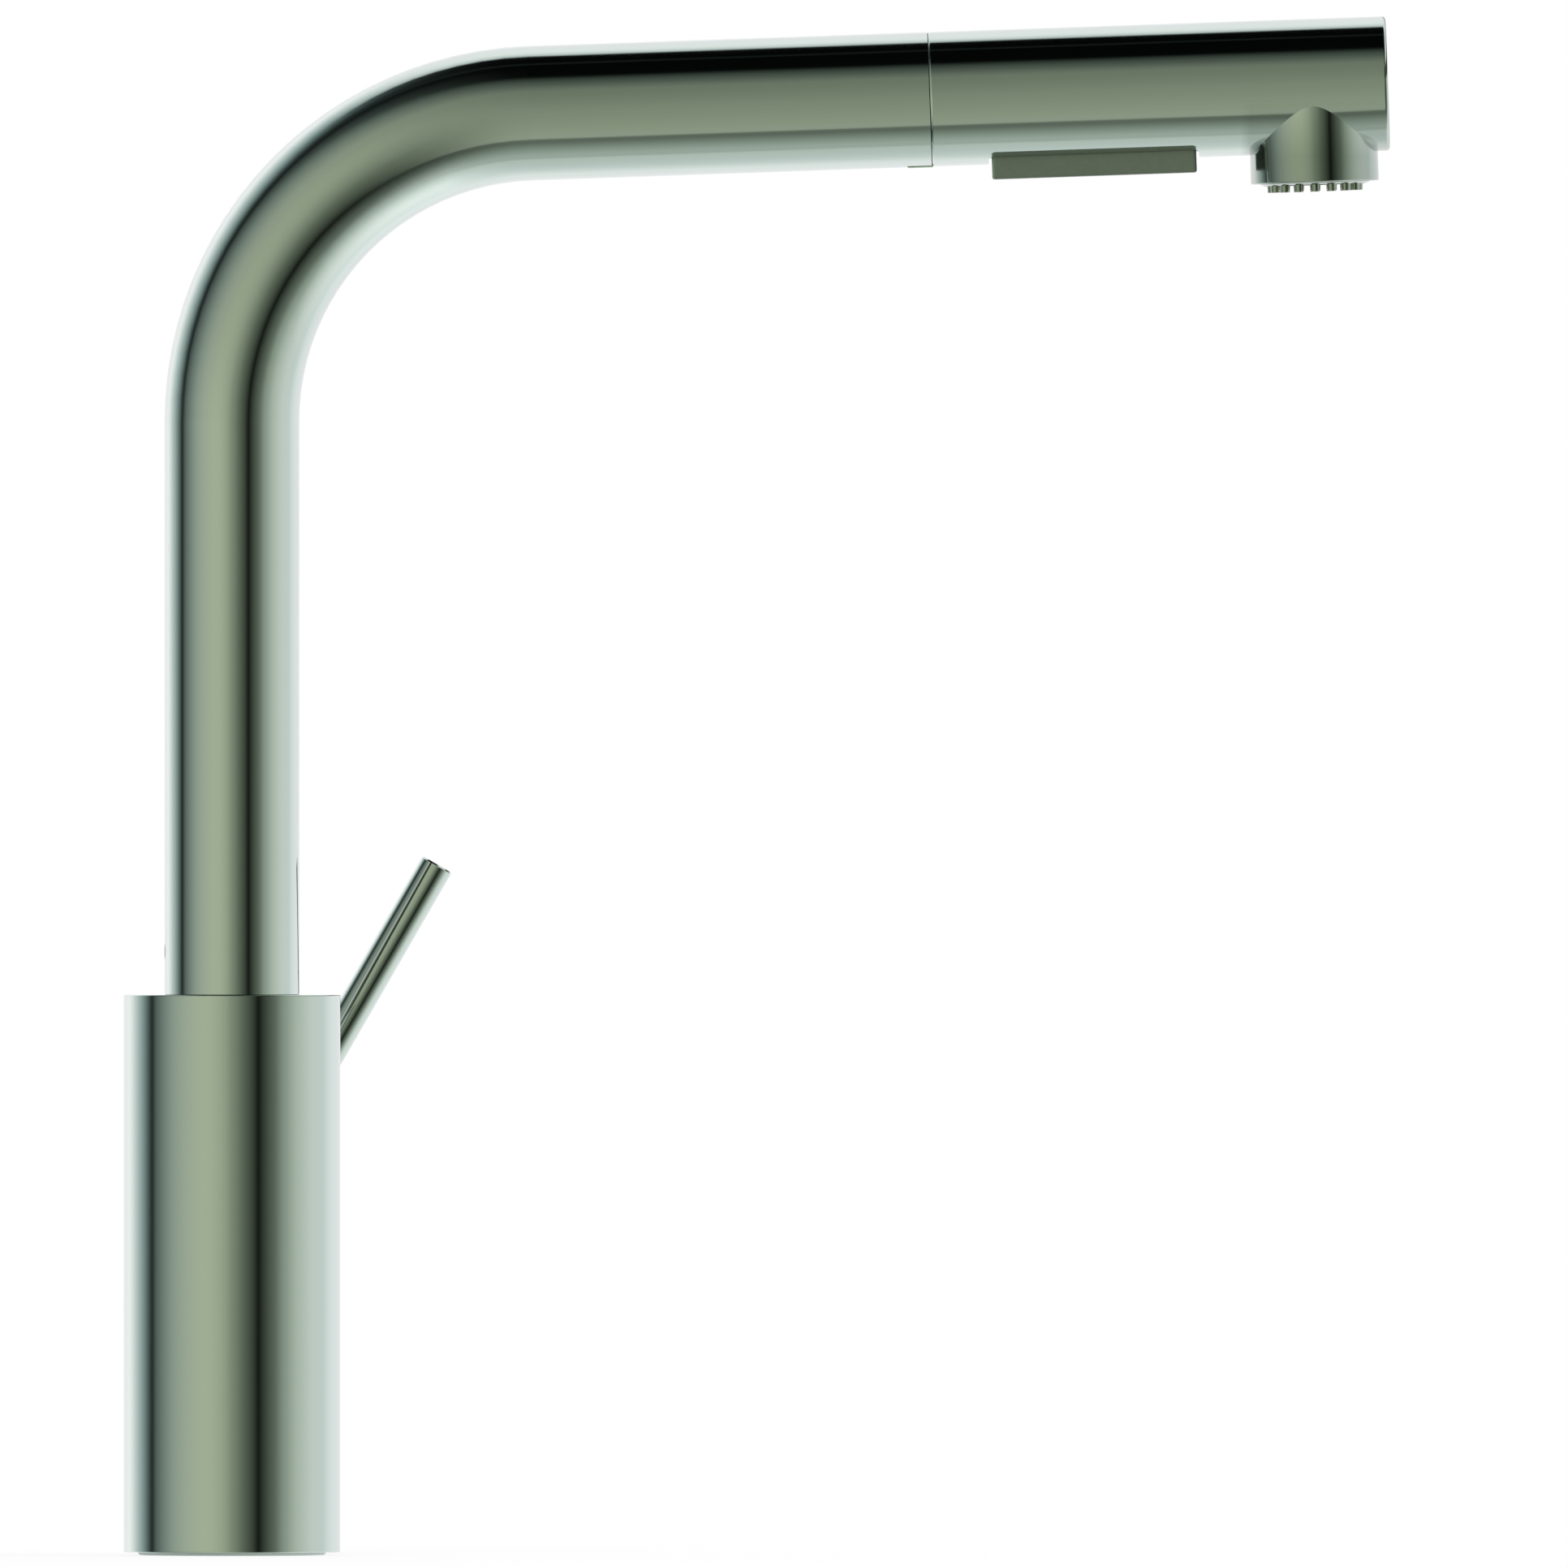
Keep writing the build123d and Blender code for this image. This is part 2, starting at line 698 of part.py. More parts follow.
with BuildPart() as hub_cap:
    turn(
        lever_frame,
        [
            (0, cap_seat),
            (cap_diameter / 2, cap_seat),
            (cap_diameter / 2, hub_front - cap_edge),
            (cap_diameter / 2 - cap_edge, hub_front),
            (0, hub_front),
        ],
    )

# === Spout ===


def along_spout(start, tail):
    """The spout's centre line, from a height in the riser to a distance before the seam."""
    with BuildLine(Plane.XZ) as centre_line:
        riser = Line((0, start), (0, bend_height))
        bend = JernArc(riser @ 1, riser % 1, bend_radius, arm_tilt - 90)
        end = seam - arm * tail
        Line(bend @ 1, (end.X, end.Z))
    return centre_line.line


# Bent steel tube, with a slot in the underside of its end for the head's key.
slot_width = key_width + 2 * pass_gap
slot_length = key_length + pass_gap
with BuildPart() as spout_tube:
    with BuildSketch(Plane.XY.offset(tube_foot)):
        Circle(tube_radius)
        Circle(tube_bore, mode=Mode.SUBTRACT)
    sweep(path=along_spout(tube_foot, 0))
    with BuildSketch(across_arm(-slot_length)) as key_slot:
        with Locations((0, -tube_radius)):
            Rectangle(slot_width, tube_radius)
    extrude(amount=2 * slot_length, mode=Mode.SUBTRACT)
    screw_plane = Plane(origin=(0, 0, screw_height), x_dir=(0, 1, 0), z_dir=(-1, 0, 0))
    with BuildSketch(screw_plane):
        Circle(screw_diameter / 2)
    extrude(amount=tube_diameter, mode=Mode.SUBTRACT)

# Plastic sleeve between the tube's foot and the post.
with BuildPart() as swivel_bush:
    bush_bore = post_radius + running_fit
    tube(body_frame, bush_bore, tube_bore - running_fit, tube_foot, tube_foot + bush_height)
    with BuildSketch(screw_plane):
        Circle(screw_diameter / 2)
    extrude(amount=tube_diameter, mode=Mode.SUBTRACT)

# Grub screw in the back of the tube. Its point runs in the post's groove.
screw_head = tube_radius - screw_recess
screw_shoulder = post_radius + pass_gap / 2
with BuildPart() as spout_screw:
    with BuildSketch(screw_plane.offset(screw_shoulder)):
        Circle(screw_diameter / 2)
    extrude(amount=screw_head - screw_shoulder)
    with BuildSketch(screw_plane.offset(screw_shoulder)):
        Circle(screw_point_diameter / 2)
    extrude(amount=-screw_point_length)
    with BuildSketch(screw_plane.offset(screw_head)):
        RegularPolygon(screw_key / 2, 6, major_radius=False)
    extrude(amount=-screw_key / 2, mode=Mode.SUBTRACT)

# Plastic socket in the tube's end that the head docks into.
bush_radius = nose_radius + pass_gap
with BuildPart() as docking_bush:
    tube(arm_frame, bush_radius, tube_bore - seat_gap, -nose_length - bush_lap, -bush_inset)
    extrude(key_slot.sketch, amount=2 * slot_length, mode=Mode.SUBTRACT)

# The hose inside the riser, the bend and the start of the arm.
hose_bore = hose_radius - hose_wall
with BuildPart() as spout_hose:
    with BuildSketch(Plane.XY.offset(foot_gap)):
        Circle(hose_radius)
        Circle(hose_bore, mode=Mode.SUBTRACT)
    sweep(path=along_spout(foot_gap, head_hose_tail + pass_gap))

# === Spray head ===

# Steel tube with the nozzle's collar joined square into it, and a window for the button.
with BuildPart() as head_shell:
    turn(
        arm_frame,
        [
            (0, seam_gap),
            (tube_radius - seam_edge, seam_gap),
            (tube_radius, seam_gap + seam_edge),
            (tube_radius, head_end),
            (0, head_end),
        ],
    )
    turn(
        nozzle_frame,
        [
            (0, 0),
            (collar_radius, 0),
            (collar_radius, collar_bottom - collar_edge),
            (collar_radius - collar_edge, collar_bottom),
            (0, collar_bottom),
        ],
    )
    rod(arm_frame, head_bore, seam_gap, head_end, Mode.SUBTRACT)
    rod(nozzle_frame, collar_bore, 0, collar_bottom, Mode.SUBTRACT)
    with BuildSketch(under_head(button_flange_top, button_position)):
        RectangleRounded(
            button_length + 2 * button_gap,
            button_width + 2 * button_side_gap,
            button_corner + button_side_gap,
        )
    extrude(amount=tube_radius, mode=Mode.SUBTRACT)

# Pressed cap that closes the tube's front end.
with BuildPart() as end_cap:
    spigot_radius = head_bore - seat_gap
    turn(
        arm_frame,
        [
            (0, head_end),
            (spigot_radius - end_cap_wall, head_end),
            (spigot_radius - end_cap_wall, spigot_start),
            (spigot_radius, spigot_start),
            (spigot_radius, head_end),
            (tube_radius, head_end),
            (tube_radius, head_length),
            (0, head_length),
        ],
    )
    front_edges = end_cap.faces().sort_by(Axis(seam, arm))[-1].edges()
    fillet(front_edges, end_cap_edge)

# Plastic nose that docks in the spout, with the key under it that stops the head turning.
plug_radius = head_bore - seat_gap
valve_bore = valve_diameter / 2 + seat_gap
with BuildPart() as docking_nose:
    turn(
        arm_frame,
        [
            (nose_bore, -nose_length),
            (nose_radius - nose_lead, -nose_length),
            (nose_radius, nose_lead - nose_length),
            (nose_radius, seam_gap),
            (plug_radius, seam_gap),
            (plug_radius, nose_plug_length),
            (valve_bore, nose_plug_length),
            (valve_bore, valve_start),
            (nose_bore, valve_start),
        ],
    )
    key_radius = tube_radius + key_proud
    with BuildSketch(across_arm(-key_length)):
        Circle(key_radius)
        Circle(nose_radius - nose_lead, mode=Mode.SUBTRACT)
        with Locations((0, -key_radius)):
            Rectangle(key_width, key_radius, mode=Mode.INTERSECT)
    extrude(amount=key_length + seam_gap)

# Brass end of the hose: thread in the nose, hexagon behind it, ferrule round the hose.
with BuildPart() as hose_fitting:
    rod(arm_frame, fitting_thread_diameter / 2, -nose_length, fitting_seat)
    with BuildSketch(across_arm(hex_start)):
        RegularPolygon(hex_across_flats / 2, 6, major_radius=False)
    extrude(amount=hex_length)
    rod(arm_frame, ferrule_diameter / 2, hex_start - ferrule_length, hex_start)
    rod(arm_frame, fitting_bore / 2, hex_start, fitting_seat, Mode.SUBTRACT)
    ferrule_bore = hose_radius + running_fit
    rod(arm_frame, ferrule_bore, hex_start - ferrule_length, hex_start, Mode.SUBTRACT)

# The hose's front length, which leaves the spout with the head.
with BuildPart() as head_hose:
    tube(arm_frame, hose_bore, hose_radius, -head_hose_tail, hex_start)

# Rubber washer with a filter's seat, between the fitting and the nose.
with BuildPart() as filter_washer:
    washer_radius = nose_bore - seat_gap
    tube(arm_frame, fitting_bore / 2, washer_radius, fitting_seat, valve_start)

# Non-return valve: a cage with a cross web that guides its poppet.
with BuildPart() as check_valve:
    valve_end = valve_start + valve_length
    cage_radius = valve_diameter / 2
    tube(arm_frame, cage_radius - valve_wall, cage_radius, valve_start, valve_end)
    with BuildSketch(across_arm(valve_end - valve_web)):
        Rectangle(2 * (cage_radius - valve_wall / 2), valve_web)
        Rectangle(valve_web, 2 * (cage_radius - valve_wall / 2))
    extrude(amount=valve_web)
    rod(arm_frame, valve_web, valve_start + poppet_thickness, valve_end)
    rod(arm_frame, poppet_diameter / 2, valve_start, valve_start + poppet_thickness)

# Plastic core that carries the water from the nose to the nozzle. It is cut by the button's
# well, the spindle's bore, the channel over them, and the aerator's and the jets' chambers.
well_length = button_length + 2 * button_flange + 2 * pass_gap
well_width = button_width + 2 * button_flange + 2 * pass_gap
core_end = spigot_start - pass_gap
bore_rise = spindle_rise + button_travel + 2 * pass_gap
aerator_radius = aerator_diameter / 2
seal_seat = aerator_top - seal_height
jet_inner = nub_circle_radius - nub_root_diameter / 2
jet_outer = nub_circle_radius + nub_root_diameter / 2
with BuildPart() as waterway:
    rod(arm_frame, plug_radius, max(nose_plug_length, valve_end), core_end)
    rod(nozzle_frame, collar_bore - seat_gap, 0, drum_bottom)
    with BuildSketch(under_head(well_floor, button_position)):
        Rectangle(well_length, well_width)
    extrude(amount=tube_radius, mode=Mode.SUBTRACT)
    with BuildSketch(under_head(well_floor, button_position)):
        Circle(spindle_diameter / 2 + seat_gap)
    extrude(amount=-well_floor - bore_rise, mode=Mode.SUBTRACT)
    with BuildSketch(across_arm(0)):
        with Locations((0, channel_rise)):
            Circle(channel_diameter / 2)
    extrude(amount=collar_position, mode=Mode.SUBTRACT)
    rod(nozzle_frame, channel_diameter / 2, -channel_rise, seal_seat, Mode.SUBTRACT)
    rod(nozzle_frame, aerator_radius + seat_gap, seal_seat, drum_bottom, Mode.SUBTRACT)
    jet_top = drum_bottom - drum_duct_depth
    tube(nozzle_frame, jet_inner, jet_outer, jet_top, drum_bottom, Mode.SUBTRACT)

# Rubber plate with the ring of jet nubs that stand out of the face.
nub_plane = under_head(face_top, collar_position)
with BuildPart() as spray_membrane:
    tube(
        nozzle_frame,
        aerator_radius + pass_gap,
        collar_bore - seat_gap,
        drum_bottom,
        face_top,
    )
    with BuildSketch(nub_plane):
        with PolarLocations(nub_circle_radius, nub_count):
            Circle(nub_root_diameter / 2)
    extrude(amount=nub_tip_depth - face_top, taper=nub_taper)
    with BuildSketch(nub_plane):
        with PolarLocations(nub_circle_radius, nub_count):
            Circle(nub_jet_diameter / 2)
    extrude(amount=nub_tip_depth - face_top, mode=Mode.SUBTRACT)
    with BuildSketch(nub_plane):
        with PolarLocations(nub_circle_radius, nub_count):
            Circle(nub_jet_diameter / 2)
    extrude(amount=-membrane_thickness, mode=Mode.SUBTRACT)

# Plastic face that holds the plate in the collar, with a hole for each nub.
with BuildPart() as spray_face:
    with BuildSketch(nub_plane):
        Circle(collar_bore - seat_gap)
        Circle(aerator_radius + seat_gap, mode=Mode.SUBTRACT)
        with PolarLocations(nub_circle_radius, nub_count):
            Circle(nub_root_diameter / 2 + running_fit, mode=Mode.SUBTRACT)
    extrude(amount=face_bottom - face_top)

# Aerator in the middle of the face: its housing, its grid and its seal.
aerator_bore = aerator_radius - aerator_wall
with BuildPart() as aerator_housing:
    turn(
        nozzle_frame,
        [
            (aerator_bore, aerator_top),
            (aerator_radius, aerator_top),
            (aerator_radius, collar_bottom - collar_edge),
            (aerator_radius - collar_edge, collar_bottom),
            (aerator_bore - aerator_lip / 2, collar_bottom),
            (aerator_bore - aerator_lip / 2, collar_bottom - aerator_lip),
            (aerator_bore, collar_bottom - aerator_lip),
        ],
    )

with BuildPart() as aerator_screen:
    with BuildSketch(under_head(collar_bottom - aerator_lip, collar_position)):
        Circle(aerator_bore - running_fit)
        pitch_radius = (screen_cell + screen_rib) / 2
        with HexLocations(pitch_radius, screen_columns, screen_rows, major_radius=False):
            RegularPolygon(
                screen_cell / 2,
                6,
                major_radius=False,
                rotation=screen_cell_turn,
                mode=Mode.SUBTRACT,
            )
    extrude(amount=-screen_thickness)

with BuildPart() as aerator_seal:
    tube(nozzle_frame, aerator_radius - seal_width, aerator_radius, seal_seat, aerator_top)

# === Spray button ===

# Long plastic button with rounded edges. A flange inside the shell keeps it in its window.
flange_bottom = button_flange_top + button_flange_thickness
button_floor = button_bottom - button_skin
with BuildPart() as mode_button:
    with BuildSketch(under_head(button_flange_top, button_position)):
        RectangleRounded(button_length, button_width, button_corner)
    extrude(amount=button_bottom - button_flange_top)
    rim = mode_button.faces().sort_by(Axis(seam, down))[-1].edges()
    fillet(rim, button_edge)
    with BuildSketch(under_head(button_flange_top, button_position)):
        RectangleRounded(
            button_length + 2 * button_flange,
            button_width + 2 * button_flange,
            button_corner,
        )
    extrude(amount=button_flange_thickness)
    with BuildSketch(under_head(button_flange_top, button_position)):
        Rectangle(button_length - 2 * button_side_wall, button_width - 2 * button_side_wall)
    extrude(amount=button_floor - button_flange_top, mode=Mode.SUBTRACT)

# Steel spindle on the button that opens one water path and closes the other.
spindle_radius = spindle_diameter / 2
button_frame = (
    Plane(origin=seam + arm * button_position, x_dir=arm, z_dir=(0, 1, 0)),
    Axis(seam + arm * button_position, down),
)
groove_radius = spindle_radius + running_fit - spindle_seal_width + seat_gap
seal_spots = [-spindle_rise + spindle_seal_height, 0.0]
with BuildPart() as diverter_spindle:
    rod(button_frame, spindle_radius, -spindle_rise, button_floor)
    for spot in seal_spots:
        tube(
            button_frame,
            groove_radius,
            spindle_diameter,
            spot,
            spot + spindle_seal_height,
            Mode.SUBTRACT,
        )

# Two sealing rings in the spindle's grooves.
with BuildPart() as spindle_seals:
    for spot in seal_spots:
        tube(
            button_frame,
            groove_radius,
            spindle_radius + running_fit,
            spot,
            spot + spindle_seal_height,
        )

# Coil spring between the core and the button, round the spindle.
spring_room = button_floor - well_floor - spring_wire - pass_gap
spring_radius = (spring_diameter - spring_wire) / 2
spring_top = well_floor + spring_wire / 2 + pass_gap / 2
spring_start = seam + arm * button_position + down * spring_top
with BuildPart() as button_spring:
    with BuildLine() as coil:
        Helix(
            pitch=spring_room / spring_turns,
            height=spring_room,
            radius=spring_radius,
            center=spring_start,
            direction=down,
        )
    with BuildSketch(Plane(origin=coil.line @ 0, z_dir=coil.line % 0)):
        Circle(spring_wire / 2)
    sweep(path=coil.line, is_frenet=True)

pieces = {
    "base_gasket": base_gasket,
    "body_shell": body_shell,
    "valve_block": valve_block,
    "swivel_post": swivel_post,
    "hose_guide": hose_guide,
    "slide_washer": slide_washer,
    "cartridge_housing": cartridge_housing,
    "housing_seal": housing_seal,
    "cartridge_base": cartridge_base,
    "port_seals": port_seals,
    "fixed_disc": fixed_disc,
    "cartridge_case": cartridge_case,
    "cartridge_nut": cartridge_nut,
    "moving_disc": moving_disc,
    "disc_driver": disc_driver,
    "turn_carrier": turn_carrier,
    "stem_pin": stem_pin,
    "cartridge_stem": cartridge_stem,
    "dome_cover": dome_cover,
    "lever_hub": lever_hub,
    "lever_pin": lever_pin,
    "hub_screw": hub_screw,
    "hub_cap": hub_cap,
    "spout_tube": spout_tube,
    "swivel_bush": swivel_bush,
    "spout_screw": spout_screw,
    "docking_bush": docking_bush,
    "spout_hose": spout_hose,
    "head_shell": head_shell,
    "end_cap": end_cap,
    "docking_nose": docking_nose,
    "hose_fitting": hose_fitting,
    "head_hose": head_hose,
    "filter_washer": filter_washer,
    "check_valve": check_valve,
    "waterway": waterway,
    "spray_membrane": spray_membrane,
    "spray_face": spray_face,
    "aerator_housing": aerator_housing,
    "aerator_screen": aerator_screen,
    "aerator_seal": aerator_seal,
    "mode_button": mode_button,
    "diverter_spindle": diverter_spindle,
    "spindle_seals": spindle_seals,
    "button_spring": button_spring,
}
os.makedirs("parts", exist_ok=True)
for label, piece in pieces.items():
    piece.part.label = label
    export_step(piece.part, f"parts/{label}.step")
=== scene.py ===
import math

import bmesh
import bpy
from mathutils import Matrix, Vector


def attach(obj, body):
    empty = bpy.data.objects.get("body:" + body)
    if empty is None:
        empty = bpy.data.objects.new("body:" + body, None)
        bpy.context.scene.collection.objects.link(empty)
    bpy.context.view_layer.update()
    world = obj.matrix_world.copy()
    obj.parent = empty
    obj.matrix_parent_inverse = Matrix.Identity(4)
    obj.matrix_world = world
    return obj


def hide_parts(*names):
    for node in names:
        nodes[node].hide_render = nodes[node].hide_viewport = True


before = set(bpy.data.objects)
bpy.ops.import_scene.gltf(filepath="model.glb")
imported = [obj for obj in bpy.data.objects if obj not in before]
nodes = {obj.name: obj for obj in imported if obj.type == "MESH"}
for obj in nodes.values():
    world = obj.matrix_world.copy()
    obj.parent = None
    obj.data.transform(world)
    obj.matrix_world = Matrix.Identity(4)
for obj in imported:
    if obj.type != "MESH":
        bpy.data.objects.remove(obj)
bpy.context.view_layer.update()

scene = bpy.context.scene

# === Camera ===
# A long lens, level, square to the spout's plane and on the side away from the lever, so the
# picture has almost no perspective. Sizes are metres.
picture_width = 0.3258  # across the plane of the spout
picture_centre = Vector((0.1147, 0.0, 0.1602))
sensor_width = 36.0  # mm
lens = 1700.0  # mm
lens_distance = picture_width * lens / sensor_width
nearest_seen = 0.1
farthest_seen = 100.0
level_turn = math.radians(90)  # an unturned camera looks straight down

camera_data = bpy.data.cameras.new("product_camera")
camera_data.sensor_width = sensor_width
camera_data.lens = lens
camera_data.clip_start = nearest_seen
camera_data.clip_end = farthest_seen
camera = bpy.data.objects.new("product_camera", camera_data)
camera.location = picture_centre - Vector((0, lens_distance, 0))
camera.rotation_euler = (level_turn, 0, 0)
scene.collection.objects.link(camera)
scene.camera = camera
scene.view_settings.view_transform = "Standard"


# === Studio ===
# The room that the polished steel mirrors: a warm panel on the camera's side, a dark gap to its
# right, a dark line far to its left that opens into an unlit ceiling, a dark strip below, white
# walls behind and a brown panel high up to the right. The camera itself sees plain white.
def add(tree, kind, inputs=None, **settings):
    """Adds a node. Each input is a value, or another node's output that is linked to it."""
    node = tree.nodes.new(kind)
    for name, value in settings.items():
        setattr(node, name, value)
    for key, value in (inputs or {}).items():
        if isinstance(value, bpy.types.NodeSocket):
            tree.links.new(value, node.inputs[key])
        else:
            node.inputs[key].default_value = value
    return node


def calc(tree, operation, *values, clamp=False):
    """The output of a Math node."""
    inputs = dict(enumerate(values))
    return add(tree, "ShaderNodeMath", inputs, operation=operation, use_clamp=clamp).outputs[0]


def product(tree, first, *others):
    """All the numbers multiplied."""
    for other in others:
        first = calc(tree, "MULTIPLY", first, other)
    return first


def between(tree, value, low, high, start=0.0, end=1.0, smooth=False):
    """The value's way from low to high, as a number from start to end."""
    node = add(
        tree,
        "ShaderNodeMapRange",
        {"Value": value, "From Min": low, "From Max": high, "To Min": start, "To Max": end},
        interpolation_type="SMOOTHSTEP" if smooth else "LINEAR",
    )
    return node.outputs["Result"]


def blend(tree, share, first, second):
    """The first number at share 0 and the second at share 1."""
    return add(tree, "ShaderNodeMix", {0: share, 2: first, 3: second}).outputs[0]


def blend_colours(tree, share, first, second, how="MIX"):
    """The first colour at share 0 and the second at share 1."""
    colours = {0: share, 6: first, 7: second}
    node = add(tree, "ShaderNodeMix", colours, data_type="RGBA", blend_type=how)
    return node.outputs[2]


brightest = 1.3  # the world's strength: the ramps hold the room's brightness as a share of it
half_turn = 180.0
# For each way from the camera's axis: the angles of the two edges that bend with the direction,
# and the room's brightness at angles from the camera, in degrees.
room = {
    "left": (88, 103, [(0, 0.37), (6, 0.49), (12, 0.565), (21, 0.635), (31, 0.65), (42, 0.62),
                       (54, 0.56), (66, 0.465), (78, 0.31), (88, 0.17), (94, 0.03), (97, 0.06),
                       (103, 0.22), (114, 0.56), (126, 0.9), (133, 1.1), (142, 1.23), (160, 1.05),
                       (180, 0.92)]),
    "right": (29, 58, [(0, 0.37), (6, 0.29), (12, 0.19), (24, 0.06), (28.5, 0.008), (36, 0.08),
                       (48, 0.21), (60, 0.46), (72, 0.67), (84, 0.8), (96, 0.89), (114, 0.91),
                       (126, 1.05), (138, 1.09), (160, 1.0), (180, 0.92)]),
    "up": (66, 114, [(0, 0.37), (30, 0.28), (37, 0.27), (49, 0.14), (55, 0.09), (63, 0.01),
                     (65, 0.002), (90, 0.002), (92.5, 0.02), (95, 0.002), (112, 0.002),
                     (117, 0.85), (126, 1.14), (138, 1.13), (150, 1.05), (180, 1.05)]),
    "down": (48, 86, [(0, 0.37), (20, 0.43), (40, 0.48), (45.5, 0.48), (48, 0.2), (53, 0.2),
                      (66, 0.41), (78, 0.575), (85.5, 0.58), (88, 0.75), (102, 0.81), (114, 0.9),
                      (126, 1.06), (134, 1.13), (160, 1.06), (180, 0.98)]),
}
# The light's red beside its green: up to an angle, a start and a gain with the brightness, so
# that dim parts are greener.
red_tints = ((55, 0.8, 0.15), (100, 0.74, 0.22), (150, 0.665, 0.275), (math.inf, 1.0, 0.0))
# Its blue beside its green, at three angles: the panel is warm, and the white walls are not.
panel_angle, panel_blue = 30.0, 0.735
edge_angle, edge_blue = 104.0, 0.97
wall_angle, wall_blue = 150.0, 1.02
ceiling_near, ceiling_far = 94.0, 104.0  # angles between which the ceiling takes over
ceiling_gap = 30.0  # how much farther the ceiling's near edge starts, beside the level line
ceiling_bend = 1.5  # powers of the steepness
floor_bend = 6.0
swell_share = 0.6  # what three more curves add to the ceiling's share near the camera's axis
shoulder_share = 0.85
crest_share = -0.8
smallest_ring = 1e-6  # so that the middle of the view divides by something

studio = bpy.data.worlds.new("studio")
scene.world = studio
studio.use_nodes = True
sky = studio.node_tree
sky.nodes.clear()
ray = add(sky, "ShaderNodeTexCoord").outputs["Generated"]
across, away, upward = add(sky, "ShaderNodeSeparateXYZ", {0: ray}).outputs
from_camera = calc(sky, "DEGREES", calc(sky, "ARCCOSINE", product(sky, away, -1.0)))
is_right = calc(sky, "GREATER_THAN", across, 0.0)
is_up = calc(sky, "GREATER_THAN", upward, 0.0)

# Steepness is 0 at the level line and 1 straight up or down, and level is the reverse. The
# shares say how much of the light straight up or down a direction between them gets.
upward_square = product(sky, upward, upward)
ring = calc(sky, "MULTIPLY_ADD", across, across, upward_square)
steepness = calc(sky, "DIVIDE", upward_square, calc(sky, "MAXIMUM", ring, smallest_ring))
level = calc(sky, "SUBTRACT", 1.0, steepness)
before_ceiling = calc(sky, "POWER", steepness, ceiling_bend)
past_ceiling = between(sky, steepness, low=0.6, high=1.0, smooth=True)
in_ceiling = between(sky, from_camera, ceiling_near, ceiling_far)
swell = product(sky, level, level, steepness)
shoulder = product(sky, calc(sky, "POWER", level, 4.0), calc(sky, "SQRT", steepness))
crest = product(sky, calc(sky, "POWER", steepness, 3.0), level)
near_share = calc(sky, "MULTIPLY_ADD", swell, swell_share, before_ceiling)
near_share = calc(sky, "MULTIPLY_ADD", shoulder, shoulder_share, near_share)
near_share = calc(sky, "MULTIPLY_ADD", crest, crest_share, near_share)
share_up = blend(sky, in_ceiling, near_share, past_ceiling)
share_down = calc(sky, "POWER", steepness, floor_bend)
high_up = between(sky, steepness, low=0.45, high=0.9, smooth=True)
far_share = blend(sky, is_up, steepness, high_up)


def edge(which):
    """The angle of the room's first (0) or second (1) edge in the ray's own direction."""
    is_first = which == 0
    beside = between(sky, is_right, 0, 1, room["left"][which], room["right"][which])
    opened = room["up"][which] + (ceiling_gap if is_first else 0.0)
    over = between(sky, is_up, 0, 1, room["down"][which], opened)
    angle = blend(sky, steepness if is_first else far_share, beside, over)
    if is_first:
        angle = calc(sky, "ADD", angle, product(sky, before_ceiling, is_up, -ceiling_gap))
    return angle


# A ray's way from the camera's axis to straight behind, in three parts of equal length.
third = 1 / 3
first_edge, second_edge = edge(0), edge(1)
near_way = between(sky, from_camera, 0.0, first_edge, 0.0, third)
middle_way = between(sky, from_camera, first_edge, second_edge, 0.0, third)
far_way = between(sky, from_camera, second_edge, half_turn, 0.0, third)
way = calc(sky, "ADD", calc(sky, "ADD", near_way, middle_way), far_way)


def wall(side):
    """The room's light on one side."""
    first, second, levels = room[side]
    node = add(sky, "ShaderNodeValToRGB", {0: way})
    stops = node.color_ramp.elements
    while len(stops) < len(levels):
        stops.new(0.5)
    for stop, (angle, brightness) in zip(stops, levels):
        near = min(angle / first, 1.0)
        middle = min(max((angle - first) / (second - first), 0.0), 1.0)
        far = max((angle - second) / (half_turn - second), 0.0)
        stop.position = (near + middle + far) * third
        grey = brightness / brightest
        start, gain = next(tint[1:] for tint in red_tints if angle < tint[0])
        stop.color = (grey * (start + gain * brightness), grey, grey, 1.0)
    return node.outputs["Color"]


light_beside = blend_colours(sky, is_right, wall("left"), wall("right"))
light_under = blend_colours(sky, share_down, light_beside, wall("down"))
light_over = blend_colours(sky, share_up, light_beside, wall("up"))
light = blend_colours(sky, is_up, light_under, light_over)
blue = calc(
    sky,
    "ADD",
    between(sky, from_camera, panel_angle, edge_angle, panel_blue, edge_blue),
    between(sky, from_camera, edge_angle, wall_angle, 0.0, wall_blue - edge_blue),
)
tint = add(sky, "ShaderNodeCombineColor", {0: 1.0, 1: 1.0, 2: blue}).outputs[0]
light = blend_colours(sky, 1.0, light, tint, how="MULTIPLY")

# The brown panel is darker towards the camera. The lever shows it by way of the spout's riser.
brown = (0.05, 0.055, 0.03, 1.0)
lean_to_camera = -0.3
faintest, fullest = -0.77, 0.77  # of the way across, leant towards the camera
to_the_right = between(sky, across, low=0.0, high=0.1, smooth=True)
not_low = between(sky, upward, low=0.12, high=0.2, smooth=True)
not_high = between(sky, upward, low=0.5, high=0.38, smooth=True)
nearness = calc(sky, "MULTIPLY_ADD", away, lean_to_camera, across)
nearness = between(sky, nearness, faintest, fullest)
on_panel = product(sky, to_the_right, not_low, not_high, nearness)
light = blend_colours(sky, on_panel, light, brown)

